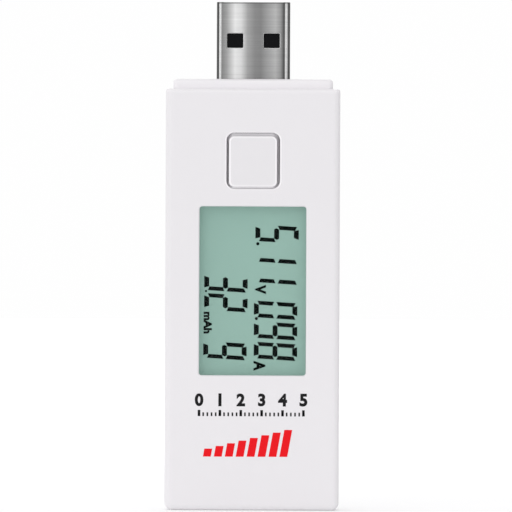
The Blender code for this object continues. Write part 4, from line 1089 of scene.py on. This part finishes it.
digit_parts = []
for kind, bars in lit.items():
    mesh = bpy.data.meshes.new(kind + "_places")
    mesh.from_pydata([place for place, _, _ in bars], [], [])
    for index, label in ((1, "turn"), (2, "middle")):
        mesh.attributes.new(label, "FLOAT", "POINT").data.foreach_set("value", [bar[index] for bar in bars])
    values = {"Bar": kinds[kind], "Lean": LEAN, "Ink": DIGIT_INK}
    digit_parts.append(grown_by_nodes(new_object(kind + "_bars", mesh), nodes.tree, bar_inputs, values))
for thing in kinds.values():
    bpy.data.objects.remove(thing)

# %% [markdown]
# The small unit letters beside the digits, and the numbers printed on the casing, are text. A text object is
# a curve, so it is made a mesh before it is put in its place, and its `offset` thickens the strokes as ink
# does.

# %% Text as a mesh
def lettering(text, height, thick, turn, place, weight, width=None):
    """Text in the front's plane, centred on `place`, turned clockwise, `height` tall in its capitals."""
    curve = bpy.data.curves.new("text", "FONT")
    curve.body = text
    curve.size = 1.0
    curve.resolution_u = 4
    curve.offset = weight
    thing = new_object("text", curve)
    mesh = evaluated_mesh(thing)
    bpy.data.objects.remove(thing)
    xs, ys = [v.co.x for v in mesh.vertices], [v.co.y for v in mesh.vertices]
    scale = height / (max(ys) - min(ys))
    wide = width / (max(xs) - min(xs)) if width else scale
    bm = bmesh.new()
    bm.from_mesh(mesh)
    middle = Vector(((min(xs) + max(xs)) / 2, (min(ys) + max(ys)) / 2, 0))
    bmesh.ops.translate(bm, verts=bm.verts, vec=-middle)
    bmesh.ops.scale(bm, verts=bm.verts, vec=(wide, scale, 1))
    skin = bmesh.ops.extrude_face_region(bm, geom=bm.faces[:])
    raised = [part for part in skin["geom"] if isinstance(part, bmesh.types.BMVert)]
    bmesh.ops.translate(bm, verts=raised, vec=(0, 0, thick))
    # The extrusion makes its faces in another order each run, so they are put in an order of their own.
    bm.verts.index_update()
    bm.faces.sort(key=lambda face: sum(math.sin(v.index) for v in face.verts))
    stand = Matrix.Rotation(turn, 4, "Y") @ Matrix.Rotation(math.pi / 2, 4, "X")
    bm.transform(Matrix.Translation(place) @ stand)
    return new_object("text", mesh_of("text", bm))


UNIT_WEIGHT = 0.05
# Each unit: its width, its height and its place.
UNITS = {
    "V": (1.5 * MM, 1.8 * MM, (1.32 * MM, 36.0 * MM)),
    "A": (1.65 * MM, 1.95 * MM, (1.21 * MM, 23.55 * MM)),
    "mAh": (3.55 * MM, 1.35 * MM, (-7.25 * MM, 30.55 * MM)),
}
for text, (width, height, (x, z)) in UNITS.items():
    place = (x, DIGIT_Y + DIGIT_THICKNESS / 2, z)
    digit_parts.append(lettering(text, height, DIGIT_THICKNESS, math.pi / 2, place, UNIT_WEIGHT, width))
digit_parts += [plate("dot", circle(radius, DOT_SIDES, (x, z)), DIGIT_Y) for x, z, radius in DOTS]
complete(joined(digit_parts, "digits"), "display_digits", DIGIT_INK)

# %% [markdown]
# ## Print on the casing
# Below the display comes a plain number scale in black, with ticks between the numbers, and below it a row of
# rising red bars. Pad printing lies a hundredth of a millimetre proud and has slightly soft, uneven ink. The
# ticks and bars repeat, so Geometry Nodes set them along a line.

# %% Ink finishes
uneven = cloud(0.5 * MM, 3)
BLACK_INK, RED_INK = (
    coat(name, uneven, colours, (0.38, 0.15), (0.004 * MM, 0.4), specular=0.12) for name, colours in (
        ("black_ink", ((0.006, 0.006, 0.007), (0.012, 0.012, 0.013))),
        ("red_ink", ((0.82, 0.004, 0.010), (0.88, 0.008, 0.014))),
    )
)

# %% Rows of blocks with Geometry Nodes
INK_PROUD, INK_SUNK = 0.015 * MM, 0.01 * MM
INK_THICK = INK_PROUD + INK_SUNK
sockets = {
    "Count": "Int", "Start": "Vector", "Step": "Vector", "Width": "Float", "Height": "Float", "Rise": "Float",
    "Slant": "Float", "Thick": "Float", "Ink": "Material",
}
nodes, given, row_inputs = node_group("row_of_blocks", sockets)
along = {"Count": given["Count"], "Start Location": given["Start"], "Offset": given["Step"]}
line = nodes.node("GeometryNodeMeshLine", inputs=along)
size = nodes.vector(X=given["Width"], Y=given["Thick"], Z=given["Height"])
cell = nodes.node("GeometryNodeMeshCube", inputs={"Size": size})
lift = nodes.vector(Z=Number(nodes, given["Height"]) * 0.5)
lifted = nodes.node("GeometryNodeTransform", inputs={"Geometry": cell, "Translation": lift})
index = nodes.node("GeometryNodeInputIndex")
solid = set_on(nodes, line, lifted, Scale=nodes.vector(X=1.0, Y=1.0, Z=index * given["Rise"] + 1.0))
slide = (position(nodes, "Z") - nodes.axis(given["Start"], "Z")) * given["Slant"]
close_group(nodes, moved(nodes, solid, nodes.vector(X=slide)), given["Ink"])


def row_of_blocks(name, count, start, step, width, height, material, rise=0.0, slant=0.0):
    values = {
        "Count": count, "Start": start, "Step": (step, 0, 0), "Width": width, "Height": height, "Rise": rise,
        "Slant": slant, "Thick": INK_THICK, "Ink": material,
    }
    return grown_by_nodes(new_object(name, bpy.data.meshes.new(name)), nodes.tree, row_inputs, values)


# %% The number scale and the rising bars
INK_Y = FRONT_Y + (INK_SUNK - INK_PROUD) / 2
SCALE_LOW_X, SCALE_HIGH_X = -8.6 * MM, 8.4 * MM
SCALE_STEPS, SHORT_TICKS = 5, 25
NUMBER_Z, NUMBER_HEIGHT, NUMBER_WEIGHT = 18.0 * MM, 2.1 * MM, 0.045
TICK_FOOT = (SCALE_LOW_X, INK_Y, 15.35 * MM)
LONG_TICK, SHORT_TICK = (0.42 * MM, 1.0 * MM), (0.26 * MM, 0.6 * MM)  # width and height
scale_step, short_step = ((SCALE_HIGH_X - SCALE_LOW_X) / steps for steps in (SCALE_STEPS, SHORT_TICKS))
scale_parts = [
    row_of_blocks("long_ticks", SCALE_STEPS + 1, TICK_FOOT, scale_step, *LONG_TICK, BLACK_INK),
    row_of_blocks("short_ticks", SHORT_TICKS + 1, TICK_FOOT, short_step, *SHORT_TICK, BLACK_INK),
]
for number in range(SCALE_STEPS + 1):
    place = (SCALE_LOW_X + number * scale_step, INK_Y + INK_THICK / 2, NUMBER_Z)
    scale_parts.append(lettering(str(number), NUMBER_HEIGHT, INK_THICK, 0.0, place, NUMBER_WEIGHT))
complete(joined(scale_parts, "scale"), "number_scale", BLACK_INK)

BAR_COUNT, BAR_PITCH = 8, 1.78 * MM
BAR_FOOT, BAR_SIZE = (-7.3 * MM, INK_Y, 8.75 * MM), (1.28 * MM, 1.3 * MM)
BAR_RISE, BAR_SLANT = 0.34, 0.18
bars = row_of_blocks("level_bars", BAR_COUNT, BAR_FOOT, BAR_PITCH, *BAR_SIZE, RED_INK, BAR_RISE, BAR_SLANT)
complete(bars, "level_bars", RED_INK)

# %% [markdown]
# ## Studio
# A white ground with soft light from the upper left. The picture's ground is pure white, so the sky is white
# where the camera looks straight at it, and lights the object more gently, brighter on the left than on the
# right. One large soft lamp models the edges, and a weaker one fills the back.

# %% Floor, sky and lamps
FLOOR_RADIUS, FLOOR_SIDES = 6.0, 64
GLOW_RISES = (0.15, 1.0)
FLOOR_GLOW = ((0.0, 0.14), (1.0, 0.30))  # lifts the ground far off to the picture's white
SKY_SIDES = ((0.0, 0.86), (0.46, 0.82), (0.56, 0.68), (0.72, 0.48), (1.0, 0.30))  # from left to right
SKY_TOP, SKY_SEEN = 1.0, 0.995
MIDDLE = (0, 0, 40 * MM)


def floor_paint(n):
    place = n.place()
    cloud = n.noise(place, 0.4)
    away = n.node("ShaderNodeVectorMath", {"operation": "LENGTH"}, {0: place}, out="Value")
    return {
        "Base Color": n.mix(cloud, (0.86, 0.86, 0.865), (0.88, 0.88, 0.885)),
        "Roughness": 0.8,
        "Specular IOR Level": 0.1,
        "Emission Color": away.between(*GLOW_RISES).ramp(*FLOOR_GLOW),
        "Emission Strength": 1.0,
    }


bm = bmesh.new()
bmesh.ops.create_circle(bm, cap_ends=True, segments=FLOOR_SIDES, radius=FLOOR_RADIUS)
floor = new_object("floor", mesh_of("floor", bm))
give(floor, finish("pale_floor", floor_paint))

world = bpy.data.worlds.new("studio")
bpy.context.scene.world = world
world.use_nodes = True
sky = Nodes(world.node_tree)
sky.tree.nodes.clear()
direction = sky.node("ShaderNodeTexCoord", out="Generated")
sides = (sky.axis(direction, "X") * 0.5 + 0.5).ramp(*SKY_SIDES)
light = sky.mix(sky.axis(direction, "Z").between(0.0, 1.0), sides, SKY_TOP)
seen = sky.node("ShaderNodeLightPath", out="Is Camera Ray")
seen_or_lit = sky.mix(seen, light, SKY_SEEN)
background = sky.node("ShaderNodeBackground", inputs={"Color": seen_or_lit, "Strength": 1.0})
sky.node("ShaderNodeOutputWorld", inputs={"Surface": background})


def lamp(name, place, size, power):
    data = bpy.data.lights.new(name, "AREA")
    data.shape = "DISK"
    data.size = size
    data.energy = power
    thing = new_object(name, data)
    thing.location = place
    thing.rotation_euler = (Vector(MIDDLE) - Vector(place)).to_track_quat("-Z", "Y").to_euler()
    thing.visible_camera = False


lamp("key", place=(-0.28, -1.0, 0.35), size=0.6, power=1.5)
lamp("fill", place=(0.0, 0.95, 0.5), size=0.8, power=1.3)
bpy.context.scene.view_settings.view_transform = "Standard"
print("Studio lit")
